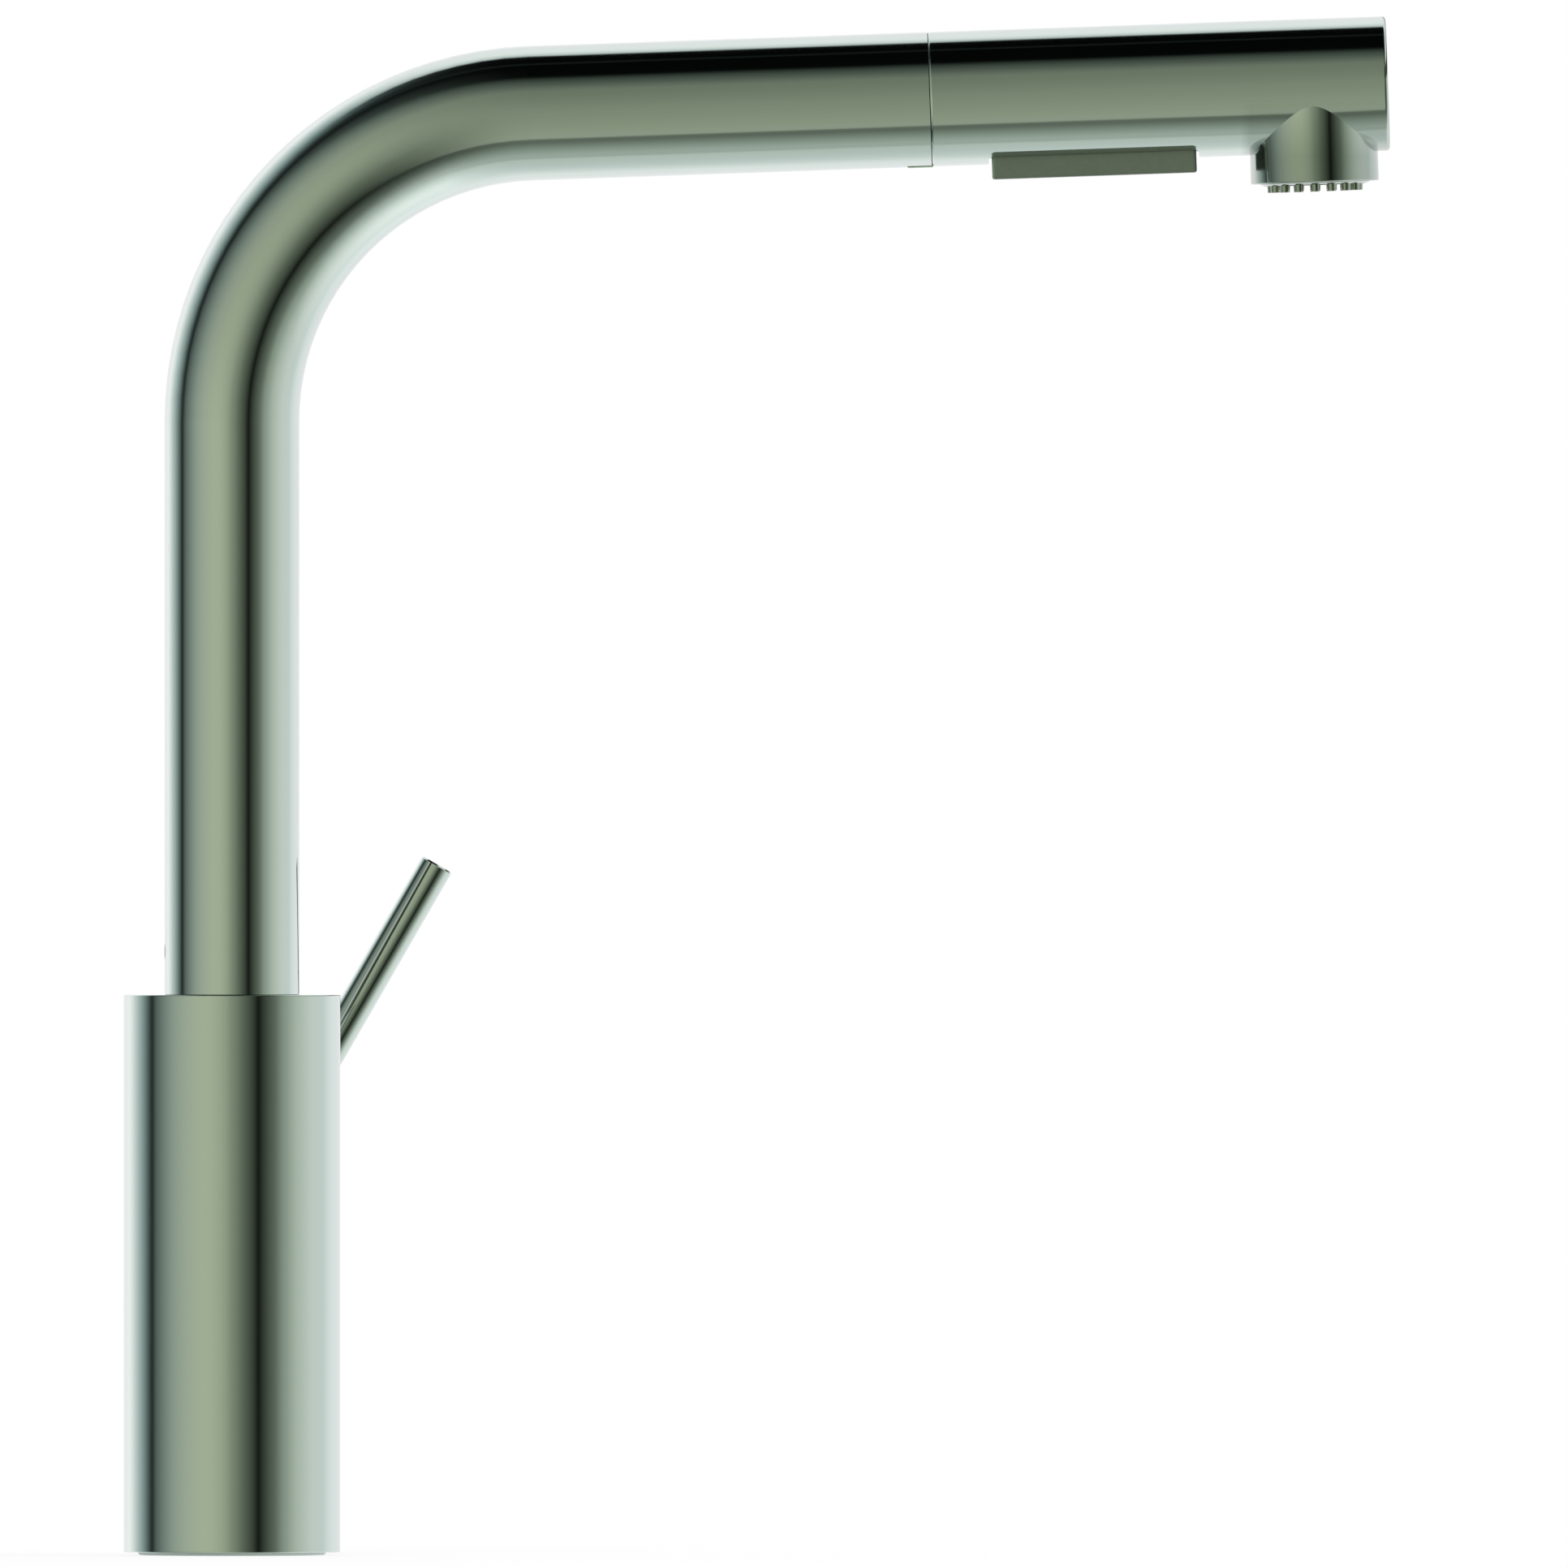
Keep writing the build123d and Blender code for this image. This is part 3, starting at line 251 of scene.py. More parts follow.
# A low fill light to the right, which the slanting parts of the bend show.
fill_direction = Vector((0.457, 0.225, -0.86)).normalized()
fill_level = 0.32
fill_core, fill_reach = 5.0, 46.0  # degrees off its direction
slant_gain = 8.0  # how fast it goes out towards straight down
off_fill = add(sky, "ShaderNodeVectorMath", {0: ray, 1: fill_direction}, operation="DOT_PRODUCT")
off_fill = calc(sky, "DEGREES", calc(sky, "ARCCOSINE", off_fill.outputs["Value"]))
slant = product(sky, steepness, slant_gain)
slant = calc(sky, "SUBTRACT", slant_gain, slant, clamp=True)
fill = product(sky, between(sky, off_fill, fill_core, fill_reach, fill_level, 0.0), slant)
light = add(sky, "ShaderNodeVectorMath", {0: light, 1: fill}, operation="ADD").outputs[0]

mirrored = add(sky, "ShaderNodeBackground", {"Color": light, "Strength": brightest}).outputs[0]
plain = add(sky, "ShaderNodeBackground", {"Color": (1, 1, 1, 1), "Strength": 1.0}).outputs[0]
straight = add(sky, "ShaderNodeLightPath").outputs["Is Camera Ray"]
seen = add(sky, "ShaderNodeMixShader", {0: straight, 1: mirrored, 2: plain})
sky.links.new(seen.outputs[0], add(sky, "ShaderNodeOutputWorld").inputs["Surface"])

# Large soft lamps that light what isn't mirror-like. Metal doesn't show them.
lamps = {
    # name: place, width, watts
    "front_lamp": ((-0.9, -1.6, 1.1), 1.2, 11.0),
    "side_lamp": ((1.5, -0.5, 0.9), 1.2, 9.0),
    "back_lamp": ((0.2, 1.6, 1.0), 1.2, 9.0),
    "top_lamp": ((0.1, 0.0, 1.9), 1.6, 16.0),
}
for name, (place, width, watts) in lamps.items():
    lamp_data = bpy.data.lights.new(name, "AREA")
    lamp_data.shape = "DISK"
    lamp_data.size = width
    lamp_data.energy = watts
    lamp = bpy.data.objects.new(name, lamp_data)
    lamp.location = place
    aim = picture_centre - Vector(place)
    lamp.rotation_euler = aim.to_track_quat("-Z", "Y").to_euler()
    lamp.visible_camera = False
    lamp.visible_glossy = False
    scene.collection.objects.link(lamp)

# Pale round table under the mixer. It keeps a faint shadow, fades into the white, and is not
# there when it is looked at from below.
table_radius = 1.2
table_sides = 96
table_colour = (0.88, 0.88, 0.88, 1.0)
fade_start, fade_end = 0.1, 0.6  # from the mixer
least_white = 0.85
floor_mesh = bpy.data.meshes.new("floor")
disc = bmesh.new()
bmesh.ops.create_circle(disc, cap_ends=True, segments=table_sides, radius=table_radius)
disc.to_mesh(floor_mesh)
disc.free()
floor = bpy.data.objects.new("floor", floor_mesh)
floor.visible_glossy = False
floor.visible_diffuse = False
scene.collection.objects.link(floor)
pale_table = bpy.data.materials.new("pale_table")
pale_table.use_nodes = True
paint = pale_table.node_tree
paint.nodes.clear()
spot = add(paint, "ShaderNodeTexCoord").outputs["Object"]
distance = add(paint, "ShaderNodeVectorMath", {0: spot}, operation="LENGTH").outputs["Value"]
lit = add(paint, "ShaderNodeBsdfDiffuse", {"Color": table_colour, "Roughness": 0.0})
glow = add(paint, "ShaderNodeEmission", {"Color": (1, 1, 1, 1), "Strength": 1.0})
fade = between(paint, distance, fade_start, fade_end, least_white, 1.0, smooth=True)
top = add(paint, "ShaderNodeMixShader", {0: fade, 1: lit.outputs[0], 2: glow.outputs[0]})
underside = add(paint, "ShaderNodeNewGeometry").outputs["Backfacing"]
clear = add(paint, "ShaderNodeBsdfTransparent").outputs[0]
sheet = add(paint, "ShaderNodeMixShader", {0: underside, 1: top.outputs[0], 2: clear})
paint.links.new(sheet.outputs[0], add(paint, "ShaderNodeOutputMaterial").inputs["Surface"])
floor_mesh.materials.append(pale_table)


# === Satin steel: body, boss, dome, hub, pin, plug, tube, head and end cap ===
# Stainless steel, turned or drawn, then satined by a fine belt. The grain is too fine to see as
# lines: it only softens what the steel mirrors, a little unevenly. The collar has painted shade.
def principled(name, **inputs):
    """A new material with one Principled shader. Underscores in an input stand for spaces."""
    material = bpy.data.materials.new(name)
    material.use_nodes = True
    shader = material.node_tree.nodes["Principled BSDF"]
    for key, value in inputs.items():
        shader.inputs[key.replace("_", " ")].default_value = value
    return material, material.node_tree, shader


def noise(web, where, scale, detail=2.0):
    """A Noise Texture's number. The scale is in cells per metre."""
    inputs = {"Vector": where, "Scale": scale, "Detail": detail}
    return add(web, "ShaderNodeTexNoise", inputs).outputs["Fac"]


def object_place(web):
    """The place in the object's own frame, which is the CAD's frame, in metres."""
    return add(web, "ShaderNodeTexCoord").outputs["Object"]


def roughen(web, shader, pattern, low, high, smoothest, roughest):
    """The shader's roughness goes over where the pattern goes from low to high."""
    roughness = between(web, pattern, low, high, smoothest, roughest)
    web.links.new(roughness, shader.inputs["Roughness"])


def dress(material, *names):
    """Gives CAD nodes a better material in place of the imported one."""
    for name in names:
        for material_slot in nodes[name].material_slots:
            material_slot.material = material


steel_colour = (0.6, 0.65, 0.62, 1.0)
# Painted shade: the collar's steel is coloured darker than the tube's.
collar_painted_shade_colour = (0.4, 0.44, 0.405, 1.0)
collar_left, collar_side = 0.2095, 0.2115  # how far along the spout the collar's painted shade sets in
tube_level, collar_level = 0.3025, 0.2905  # the heights between which the steel's colour and the painted shade meet
satin_steel, web, shader = principled("satin_steel", Metallic=1.0)
place = object_place(web)
grain = noise(web, place, scale=9000.0)
patches = noise(web, place, scale=60.0, detail=3.0)
uneven = product(web, calc(web, "ADD", grain, patches), 0.5)
roughen(web, shader, uneven, low=0.3, high=0.7, smoothest=0.075, roughest=0.1)
split = add(web, "ShaderNodeSeparateXYZ", {0: place})
# Painted shade on the collar, past its left edge and below the tube.
on_collar_painted_shade = product(
    web,
    between(web, split.outputs["X"], collar_left, collar_side),
    between(web, split.outputs["Z"], tube_level, collar_level),
)
tone = blend_colours(web, on_collar_painted_shade, steel_colour, collar_painted_shade_colour)
web.links.new(tone, shader.inputs["Base Color"])
dress(
    satin_steel,
    "body_shell",
    "cartridge_housing",
    "dome_cover",
    "lever_hub",
    "lever_pin",
    "hub_cap",
    "spout_tube",
    "head_shell",
    "end_cap",
)


# === Bright steel: cross pin, screws, spindle and spring ===
# Free-cutting stainless steel as it leaves the lathe, with fine rings round the bars, and
# drawn wire with fine lines for the spring. Nothing on them is satined.
def stretched(web, where, across_x, across_y, across_z):
    """The place with each axis scaled by itself, so that a pattern runs along the short one."""
    factors = {0: where, 1: (across_x, across_y, across_z)}
    return add(web, "ShaderNodeVectorMath", factors, operation="MULTIPLY").outputs["Vector"]


def relief(web, shader, height, depth):
    """Bumps the shader's surface. The depth is what a height of 1 stands for, in metres."""
    bump = add(web, "ShaderNodeBump", {"Height": height, "Strength": 1.0, "Distance": depth})
    web.links.new(bump.outputs["Normal"], shader.inputs["Normal"])


bright_colour = (0.62, 0.61, 0.58, 1.0)
turned_steel, web, shader = principled("turned_steel", Metallic=1.0, Base_Color=bright_colour)
place = object_place(web)
tool_rings = noise(web, stretched(web, place, 0.15, 0.15, 1.0), scale=16000.0, detail=1.0)
handling = noise(web, place, scale=400.0, detail=4.0)
roughen(web, shader, handling, low=0.35, high=0.7, smoothest=0.14, roughest=0.3)
relief(web, shader, tool_rings, depth=0.000002)
dress(turned_steel, "stem_pin", "hub_screw", "spout_screw", "diverter_spindle")

spring_colour = (0.5, 0.49, 0.47, 1.0)
spring_steel, web, shader = principled("spring_steel", Metallic=1.0, Base_Color=spring_colour)
place = object_place(web)
wire_lines = noise(web, stretched(web, place, 0.3, 0.3, 1.0), scale=20000.0)
oil = noise(web, place, scale=900.0, detail=3.0)
roughen(web, shader, oil, low=0.35, high=0.65, smoothest=0.2, roughest=0.38)
relief(web, shader, wire_lines, depth=0.000003)
dress(spring_steel, "button_spring")


# === Brass: block, post, nut, stem and hose end ===
# Turned and milled brass, left bare because nothing of it shows. The tool's rings run across
# the body's axis, and the metal has dulled a little in patches.
def two_tone(web, shader, pattern, first, second, low, high):
    """The shader's colour goes over where the pattern goes from low to high."""
    tone = blend_colours(web, between(web, pattern, low, high), first, second)
    web.links.new(tone, shader.inputs["Base Color"])


brass_colour = (0.72, 0.5, 0.22, 1.0)
dull_brass_colour = (0.5, 0.34, 0.16, 1.0)
machined_brass, web, shader = principled("machined_brass", Metallic=1.0)
place = object_place(web)
tool_rings = noise(web, stretched(web, place, 0.1, 0.1, 1.0), scale=5000.0)
dulled = noise(web, place, scale=180.0, detail=5.0)
two_tone(web, shader, dulled, brass_colour, dull_brass_colour, low=0.45, high=0.75)
roughen(web, shader, dulled, low=0.3, high=0.7, smoothest=0.2, roughest=0.42)
relief(web, shader, tool_rings, depth=0.000006)
dress(
    machined_brass,
    "valve_block",
    "swivel_post",
    "cartridge_nut",
    "cartridge_stem",
    "hose_fitting",
)


# === Ceramic discs ===
# Fired alumina, ivory white and dense. The faces that slide are lapped until they shine, and
# fine darker grains show in the body.
ceramic_colour = (0.8, 0.77, 0.7, 1.0)
ceramic_grain_colour = (0.62, 0.58, 0.5, 1.0)
fired_ceramic, web, shader = principled(
    "fired_ceramic", Subsurface_Weight=0.1, Subsurface_Scale=0.001
)
place = object_place(web)
grains = noise(web, place, scale=7000.0, detail=3.0)
lapping = noise(web, place, scale=250.0)
two_tone(web, shader, grains, ceramic_colour, ceramic_grain_colour, low=0.6, high=0.75)
roughen(web, shader, lapping, low=0.35, high=0.65, smoothest=0.1, roughest=0.24)
relief(web, shader, grains, depth=0.000002)
dress(fired_ceramic, "fixed_disc", "moving_disc")


# === White plastic: cartridge case, carrier, bush, guide, valve and screen ===
# Acetal, moulded in a spark-eroded tool: milky, a little waxy, and faintly grainy to the touch.
# The flow of the melt leaves broad bands that are hardly seen.
acetal_colour = (0.78, 0.78, 0.75, 1.0)
acetal_band_colour = (0.7, 0.7, 0.66, 1.0)
white_acetal, web, shader = principled(
    "white_acetal", Subsurface_Weight=0.25, Subsurface_Scale=0.0015, Roughness=0.42
)
place = object_place(web)
flow = noise(web, stretched(web, place, 1.0, 1.0, 0.3), scale=120.0, detail=3.0)
two_tone(web, shader, flow, acetal_colour, acetal_band_colour, low=0.4, high=0.7)
relief(web, shader, noise(web, place, scale=6000.0), depth=0.000008)
dress(
    white_acetal,
    "hose_guide",
    "cartridge_case",
    "turn_carrier",
    "swivel_bush",
    "check_valve",
    "aerator_screen",
)


# === Black plastic: washer, cartridge base, driver, docking bush and waterway ===
# Glass-filled nylon, dark and half matt. Short fibres lie under the skin as faint lighter
# flecks, and the skin is grained by the tool.
nylon_colour = (0.022, 0.022, 0.024, 1.0)
fibre_colour = (0.06, 0.06, 0.062, 1.0)
black_nylon, web, shader = principled("black_nylon")
place = object_place(web)
fibres = noise(web, stretched(web, place, 1.0, 0.25, 1.0), scale=9000.0, detail=1.0)
gloss = noise(web, place, scale=300.0)
two_tone(web, shader, fibres, nylon_colour, fibre_colour, low=0.62, high=0.75)
roughen(web, shader, gloss, low=0.35, high=0.65, smoothest=0.36, roughest=0.52)
relief(web, shader, noise(web, place, scale=5000.0), depth=0.00001)
dress(
    black_nylon,
    "slide_washer",
    "cartridge_base",
    "disc_driver",
    "docking_bush",
    "waterway",
)


# === Grey plastic: spray face and aerator housing ===
# Grey ABS, the only plastic that is seen from below. It is evenly matt from a fine tool grain,
# with the slightest mottle.
abs_colour = (0.2, 0.215, 0.2, 1.0)
abs_mottle_colour = (0.165, 0.18, 0.165, 1.0)
grey_abs, web, shader = principled("grey_abs")
place = object_place(web)
mottle = noise(web, place, scale=900.0, detail=4.0)
two_tone(web, shader, mottle, abs_colour, abs_mottle_colour, low=0.4, high=0.65)
roughen(web, shader, mottle, low=0.35, high=0.65, smoothest=0.38, roughest=0.5)
relief(web, shader, noise(web, place, scale=5500.0), depth=0.00001)
dress(grey_abs, "spray_face", "aerator_housing")


# === Olive plastic: spray button and docking nose ===
# Olive-grey ABS that matches the steel's dark side. The long button's face is matt. Its rounded
# left end is painted highlight, the nose's key painted light and its right end painted shade.
arm_tilt = math.radians(2)
arm_way = Vector((math.cos(arm_tilt), 0, math.sin(arm_tilt)))
arm_up = Vector((-math.sin(arm_tilt), 0, math.cos(arm_tilt)))
arm_side = Vector((0, 1, 0))
seam_place = Vector((0.144916, 0, 0.302465))
button_left = 0.0125  # along the arm from the seam, as the next two are
button_right = 0.055
key_end = 0.0004
key_top = -0.0137  # above the arm's axis
button_edge = 0.00045
# Where the painted highlight and the painted shade set in, and where they are full.
painted_highlight_start, painted_highlight_full = 1.2, 0.7  # in edges from the button's end, as the next two are
painted_shade_start, painted_shade_full = 0.9, 0.6
# The lighter colour is painted highlight, the key's painted light, the darkest painted shade.
olive_colour = (0.185, 0.215, 0.168, 1.0)
olive_painted_highlight_colour = (0.27, 0.35, 0.28, 1.0)
olive_dark_colour = (0.176, 0.205, 0.16, 1.0)
olive_key_painted_light_colour = (0.66, 0.79, 0.63, 1.0)
olive_painted_shade_colour = (0.05, 0.07, 0.055, 1.0)


def distance_along(web, where, direction):
    """How far the place lies from the seam in a direction."""
    node = add(web, "ShaderNodeVectorMath", {0: where, 1: direction}, operation="DOT_PRODUCT")
    return node.outputs["Value"]


olive_abs, web, shader = principled("olive_abs")
place = object_place(web)
mottle = noise(web, place, scale=1100.0, detail=4.0)
tone = blend_colours(web, between(web, mottle, 0.4, 0.65), olive_colour, olive_dark_colour)
from_seam = add(web, "ShaderNodeVectorMath", {0: place, 1: seam_place}, operation="SUBTRACT")
along = distance_along(web, from_seam.outputs["Vector"], arm_way)
above = distance_along(web, from_seam.outputs["Vector"], arm_up)
# Painted highlight: the button's rounded left end is coloured lighter.
painted_highlight = between(
    web,
    along,
    button_left + painted_highlight_start * button_edge,
    button_left + painted_highlight_full * button_edge,
)
past_nose = calc(web, "GREATER_THAN", along, button_left - button_edge)
tone = blend_colours(web, product(web, painted_highlight, past_nose), tone, olive_painted_highlight_colour)
# Painted shade: the button's right end is coloured near black.
painted_shade = between(
    web,
    along,
    button_right - painted_shade_start * button_edge,
    button_right - painted_shade_full * button_edge,
)
tone = blend_colours(web, painted_shade, tone, olive_painted_shade_colour)
# Painted light: the nose's key, under the tube, is coloured pale.
before_key_end = calc(web, "LESS_THAN", along, key_end)
under_key_top = calc(web, "LESS_THAN", above, key_top)
painted_key_light = product(web, before_key_end, under_key_top)
tone = blend_colours(web, painted_key_light, tone, olive_key_painted_light_colour)
web.links.new(tone, shader.inputs["Base Color"])
roughen(web, shader, mottle, low=0.35, high=0.65, smoothest=0.42, roughest=0.55)
relief(web, shader, noise(web, place, scale=6000.0), depth=0.000008)
dress(olive_abs, "mode_button", "docking_nose")


# === Black rubber: seals and washers ===
# Nitrile rubber, black and almost matt, with a thin uneven film of the grease that it was
# fitted with.
rubber_colour = (0.014, 0.014, 0.014, 1.0)
grease_colour = (0.045, 0.045, 0.043, 1.0)
black_rubber, web, shader = principled("black_rubber")
place = object_place(web)
grease = noise(web, place, scale=700.0, detail=5.0)
two_tone(web, shader, grease, rubber_colour, grease_colour, low=0.5, high=0.8)
roughen(web, shader, grease, low=0.3, high=0.7, smoothest=0.35, roughest=0.75)
relief(web, shader, noise(web, place, scale=8000.0), depth=0.00001)
dress(
    black_rubber,
    "housing_seal",
    "port_seals",
    "filter_washer",
    "aerator_seal",
    "spindle_seals",
)


# === Foot gasket ===
# Soft pale grey rubber ring that the body stands on, moulded and left matt. A thin edge of it
# shows under the shell.
gasket_colour = (0.88, 0.94, 0.97, 1.0)
gasket_dust_colour = (0.84, 0.9, 0.93, 1.0)
foot_rubber, web, shader = principled("foot_rubber", Roughness=0.62)
place = object_place(web)
dust = noise(web, place, scale=500.0, detail=5.0)
two_tone(web, shader, dust, gasket_colour, gasket_dust_colour, low=0.5, high=0.8)
relief(web, shader, noise(web, place, scale=4000.0), depth=0.000015)
dress(foot_rubber, "base_gasket")


# === Spray membrane with its nubs ===
# Silicone with a metallic pigment, glossy where the water runs over it, so that lime can be
# rubbed off the nubs. They mirror the room as dark metal would.
membrane_colour = (0.36, 0.39, 0.33, 1.0)
membrane_fleck_colour = (0.44, 0.47, 0.4, 1.0)
silicone, web, shader = principled("grey_silicone", Metallic=0.95)
place = object_place(web)
flecks = noise(web, place, scale=12000.0, detail=1.0)
gloss = noise(web, place, scale=900.0)
two_tone(web, shader, flecks, membrane_colour, membrane_fleck_colour, low=0.55, high=0.7)
roughen(web, shader, gloss, low=0.35, high=0.65, smoothest=0.07, roughest=0.13)
relief(web, shader, noise(web, place, scale=3000.0), depth=0.000002)
dress(silicone, "spray_membrane")


# === Hose ===
# Rubber hose under a braid of grey nylon. The length inside the spout keeps its CAD shape. The
# front length, which comes out with the head, has its braid modelled: sixteen flat strands each
# way round, each over one and under one.
hose_radius = 0.005
hose_bore = 0.0034
strand_count = 16
strand_width = math.tau * hose_radius / strand_count  # as long as it is wide
strand_swell = 0.00016
strand_lift = 0.00008
valley_radius = hose_radius - strand_swell - strand_lift
steps_per_strand = 8
front_hose_start = -0.08  # along the arm from the seam
front_hose_end = -0.0198
front_hose_length = front_hose_end - front_hose_start


def strand(own, other):
    """How far one family's strand rises at a place between strands of both families."""
    nearest = round(own)
    off = 2 * abs(own - nearest)
    swell = strand_swell * math.sqrt(max(1 - off * off, 0.0))
    over = strand_lift * math.cos(math.pi * other) * (1 if nearest % 2 == 0 else -1)
    return swell + over


def hose_place(along, angle, radius):
    """A place at an angle round the arm's axis."""
    outwards = arm_up * math.cos(angle) + arm_side * math.sin(angle)
    return seam_place + arm_way * along + outwards * radius


hose_mesh = bmesh.new()
weave = hose_mesh.loops.layers.uv.new("weave")
steps_round = strand_count * steps_per_strand
ring_count = round(front_hose_length / (strand_width / steps_per_strand))
weave_places = {}
rings = []
for row in range(ring_count + 1):
    along = front_hose_start + front_hose_length * (row / ring_count)
    ring_vertices = []
    for column in range(steps_round):
        turn_share = column / steps_round
        left = strand_count * turn_share + along / strand_width
        right = strand_count * turn_share - along / strand_width
        rise_left = strand(left, right)
        rise_right = strand(right, left + 1)
        radius = valley_radius + max(rise_left, rise_right, 0.0)
        vertex = hose_mesh.verts.new(hose_place(along, math.tau * turn_share, radius))
        weave_places[vertex] = (left if rise_left > rise_right else right, rise_left > rise_right)
        ring_vertices.append(vertex)
    rings.append(ring_vertices)
for along in (front_hose_end, front_hose_start):
    ring_vertices = []
    for column in range(steps_round):
        angle = math.tau * column / steps_round
        vertex = hose_mesh.verts.new(hose_place(along, angle, hose_bore))
        weave_places[vertex] = (0.0, False)
        ring_vertices.append(vertex)
    rings.append(ring_vertices)
for low_ring, high_ring in zip(rings, rings[1:] + rings[:1]):
    for column in range(steps_round):
        after = (column + 1) % steps_round
        corners = (low_ring[column], low_ring[after], high_ring[after], high_ring[column])
        face = hose_mesh.faces.new(corners)
        for loop in face.loops:
            family_place, family = weave_places[loop.vert]
            loop[weave].uv = (family_place, float(family))
bmesh.ops.recalc_face_normals(hose_mesh, faces=hose_mesh.faces)
braid_data = bpy.data.meshes.new("front_hose_braid")
hose_mesh.to_mesh(braid_data)
hose_mesh.free()
braid_data.shade_smooth()
front_hose = bpy.data.objects.new("front_hose_braid", braid_data)
scene.collection.objects.link(front_hose)

nylon_grey = (0.17, 0.185, 0.18, 1.0)
nylon_light = (0.34, 0.36, 0.345, 1.0)
filaments_per_strand = 5
most_shade = 0.5
braided_nylon, web, shader = principled("braided_nylon", Roughness=0.38, Sheen_Weight=0.15)
weave_map = add(web, "ShaderNodeUVMap", uv_map="weave")
weave_place = add(web, "ShaderNodeSeparateXYZ", {0: weave_map.outputs[0]})
filament_turn = product(web, weave_place.outputs["X"], math.tau * filaments_per_strand)
filament_height = between(web, calc(web, "SINE", filament_turn), low=-1.0, high=1.0)
tone = blend_colours(web, filament_height, nylon_grey, nylon_light)
shade = noise(web, object_place(web), scale=1500.0, detail=3.0)
shade = between(web, shade, low=0.4, high=0.8, end=most_shade)
tone = blend_colours(web, shade, tone, nylon_grey)
web.links.new(tone, shader.inputs["Base Color"])
relief(web, shader, filament_height, depth=0.00003)
braid_data.materials.append(braided_nylon)
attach(front_hose, "spray_head")
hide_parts("head_hose")

plain_braid, web, shader = principled("plain_braid", Roughness=0.45, Sheen_Weight=0.15)
place = object_place(web)
strands = add(
    web,
    "ShaderNodeTexWave",
    {"Vector": place, "Scale": 180.0, "Distortion": 0.0},
    bands_direction="DIAGONAL",
)
tone = blend_colours(web, strands.outputs["Fac"], nylon_grey, nylon_light)
web.links.new(tone, shader.inputs["Base Color"])
relief(web, shader, strands.outputs["Fac"], depth=0.0001)
dress(plain_braid, "spout_hose")


# === Threads of the sockets underneath ===
# The supplies and the outlet screw into M10 x 1 threads, and the stud into an M8. Each is a
# three-sided ridge wound up the wall of its plain bore, most of it sunk in the brass.
thread_depth = 0.0003
thread_steps = 48  # for each turn
thread_turns = 11.0
thread_start = 0.0011  # above the deck
ridge_sides = 3
socket_bores = (
    # middle, bore radius, pitch
    ((-0.011276, -0.004104), 0.0045, 0.001),
    ((0.011276, 0.004104), 0.0045, 0.001),
    ((0.0, 0.012), 0.0045, 0.001),
    ((0.0, -0.012), 0.0034, 0.00125),
)

ridge_tree = bpy.data.node_groups.new("thread_ridge", "GeometryNodeTree")
for label in ("Middle", "Bore", "Pitch", "Turns", "Depth"):
    kind = "NodeSocketVector" if label == "Middle" else "NodeSocketFloat"
    ridge_tree.interface.new_socket(label, in_out="INPUT", socket_type=kind)
ridge_tree.interface.new_socket("Ridge", in_out="OUTPUT", socket_type="NodeSocketGeometry")
given = add(ridge_tree, "NodeGroupInput").outputs
half_pitch = product(ridge_tree, given["Pitch"], 0.5)
sunk = calc(ridge_tree, "SUBTRACT", half_pitch, given["Depth"])
helix_radius = calc(ridge_tree, "ADD", given["Bore"], sunk)
helix = add(
    ridge_tree,
    "GeometryNodeCurveSpiral",
    {
        "Resolution": thread_steps,
        "Rotations": given["Turns"],
        "Start Radius": helix_radius,
        "End Radius": helix_radius,
        "Height": product(ridge_tree, given["Pitch"], given["Turns"]),
    },
)
helix = add(ridge_tree, "GeometryNodeSetCurveNormal", {"Curve": helix.outputs[0]}, mode="Z_UP")
# The ridge grows over its first half turn and runs out over its last.
way_up = add(ridge_tree, "GeometryNodeSplineParameter").outputs["Factor"]
from_end = calc(ridge_tree, "MINIMUM", way_up, calc(ridge_tree, "SUBTRACT", 1.0, way_up))
double_turns = product(ridge_tree, given["Turns"], 2.0)
grown = calc(ridge_tree, "MULTIPLY", from_end, double_turns, clamp=True)
helix = add(
    ridge_tree,
    "GeometryNodeSetCurveRadius",
    {"Curve": helix.outputs[0], "Radius": grown},
)
triangle = add(
    ridge_tree,
    "GeometryNodeCurvePrimitiveCircle",
    {"Resolution": ridge_sides, "Radius": half_pitch},
)
ridge = add(
    ridge_tree,
    "GeometryNodeCurveToMesh",
    {"Curve": helix.outputs[0], "Profile Curve": triangle.outputs[0], "Fill Caps": True},
)
ridge = add(
    ridge_tree,
    "GeometryNodeTransform",
    {"Geometry": ridge.outputs[0], "Translation": given["Middle"]},
)
ridge_tree.links.new(ridge.outputs[0], add(ridge_tree, "NodeGroupOutput").inputs["Ridge"])

threads_tree = bpy.data.node_groups.new("socket_threads", "GeometryNodeTree")
for label, kind in (("Turns", "Float"), ("Depth", "Float"), ("Finish", "Material")):
    threads_tree.interface.new_socket(label, in_out="INPUT", socket_type="NodeSocket" + kind)
threads_tree.interface.new_socket("Threads", in_out="OUTPUT", socket_type="NodeSocketGeometry")
given = add(threads_tree, "NodeGroupInput").outputs
all_ridges = add(threads_tree, "GeometryNodeJoinGeometry")
for middle, bore, pitch in socket_bores:
    one_ridge = add(threads_tree, "GeometryNodeGroup", node_tree=ridge_tree)
    one_ridge.inputs["Middle"].default_value = (*middle, thread_start)
    one_ridge.inputs["Bore"].default_value = bore
    one_ridge.inputs["Pitch"].default_value = pitch
    threads_tree.links.new(given["Turns"], one_ridge.inputs["Turns"])
    threads_tree.links.new(given["Depth"], one_ridge.inputs["Depth"])
    threads_tree.links.new(one_ridge.outputs[0], all_ridges.inputs[0])
real = add(threads_tree, "GeometryNodeRealizeInstances", {"Geometry": all_ridges.outputs[0]})
finished = add(
    threads_tree,
    "GeometryNodeSetMaterial",
    {"Geometry": real.outputs[0], "Material": given["Finish"]},
)
threads_tree.links.new(finished.outputs[0], add(threads_tree, "NodeGroupOutput").inputs["Threads"])

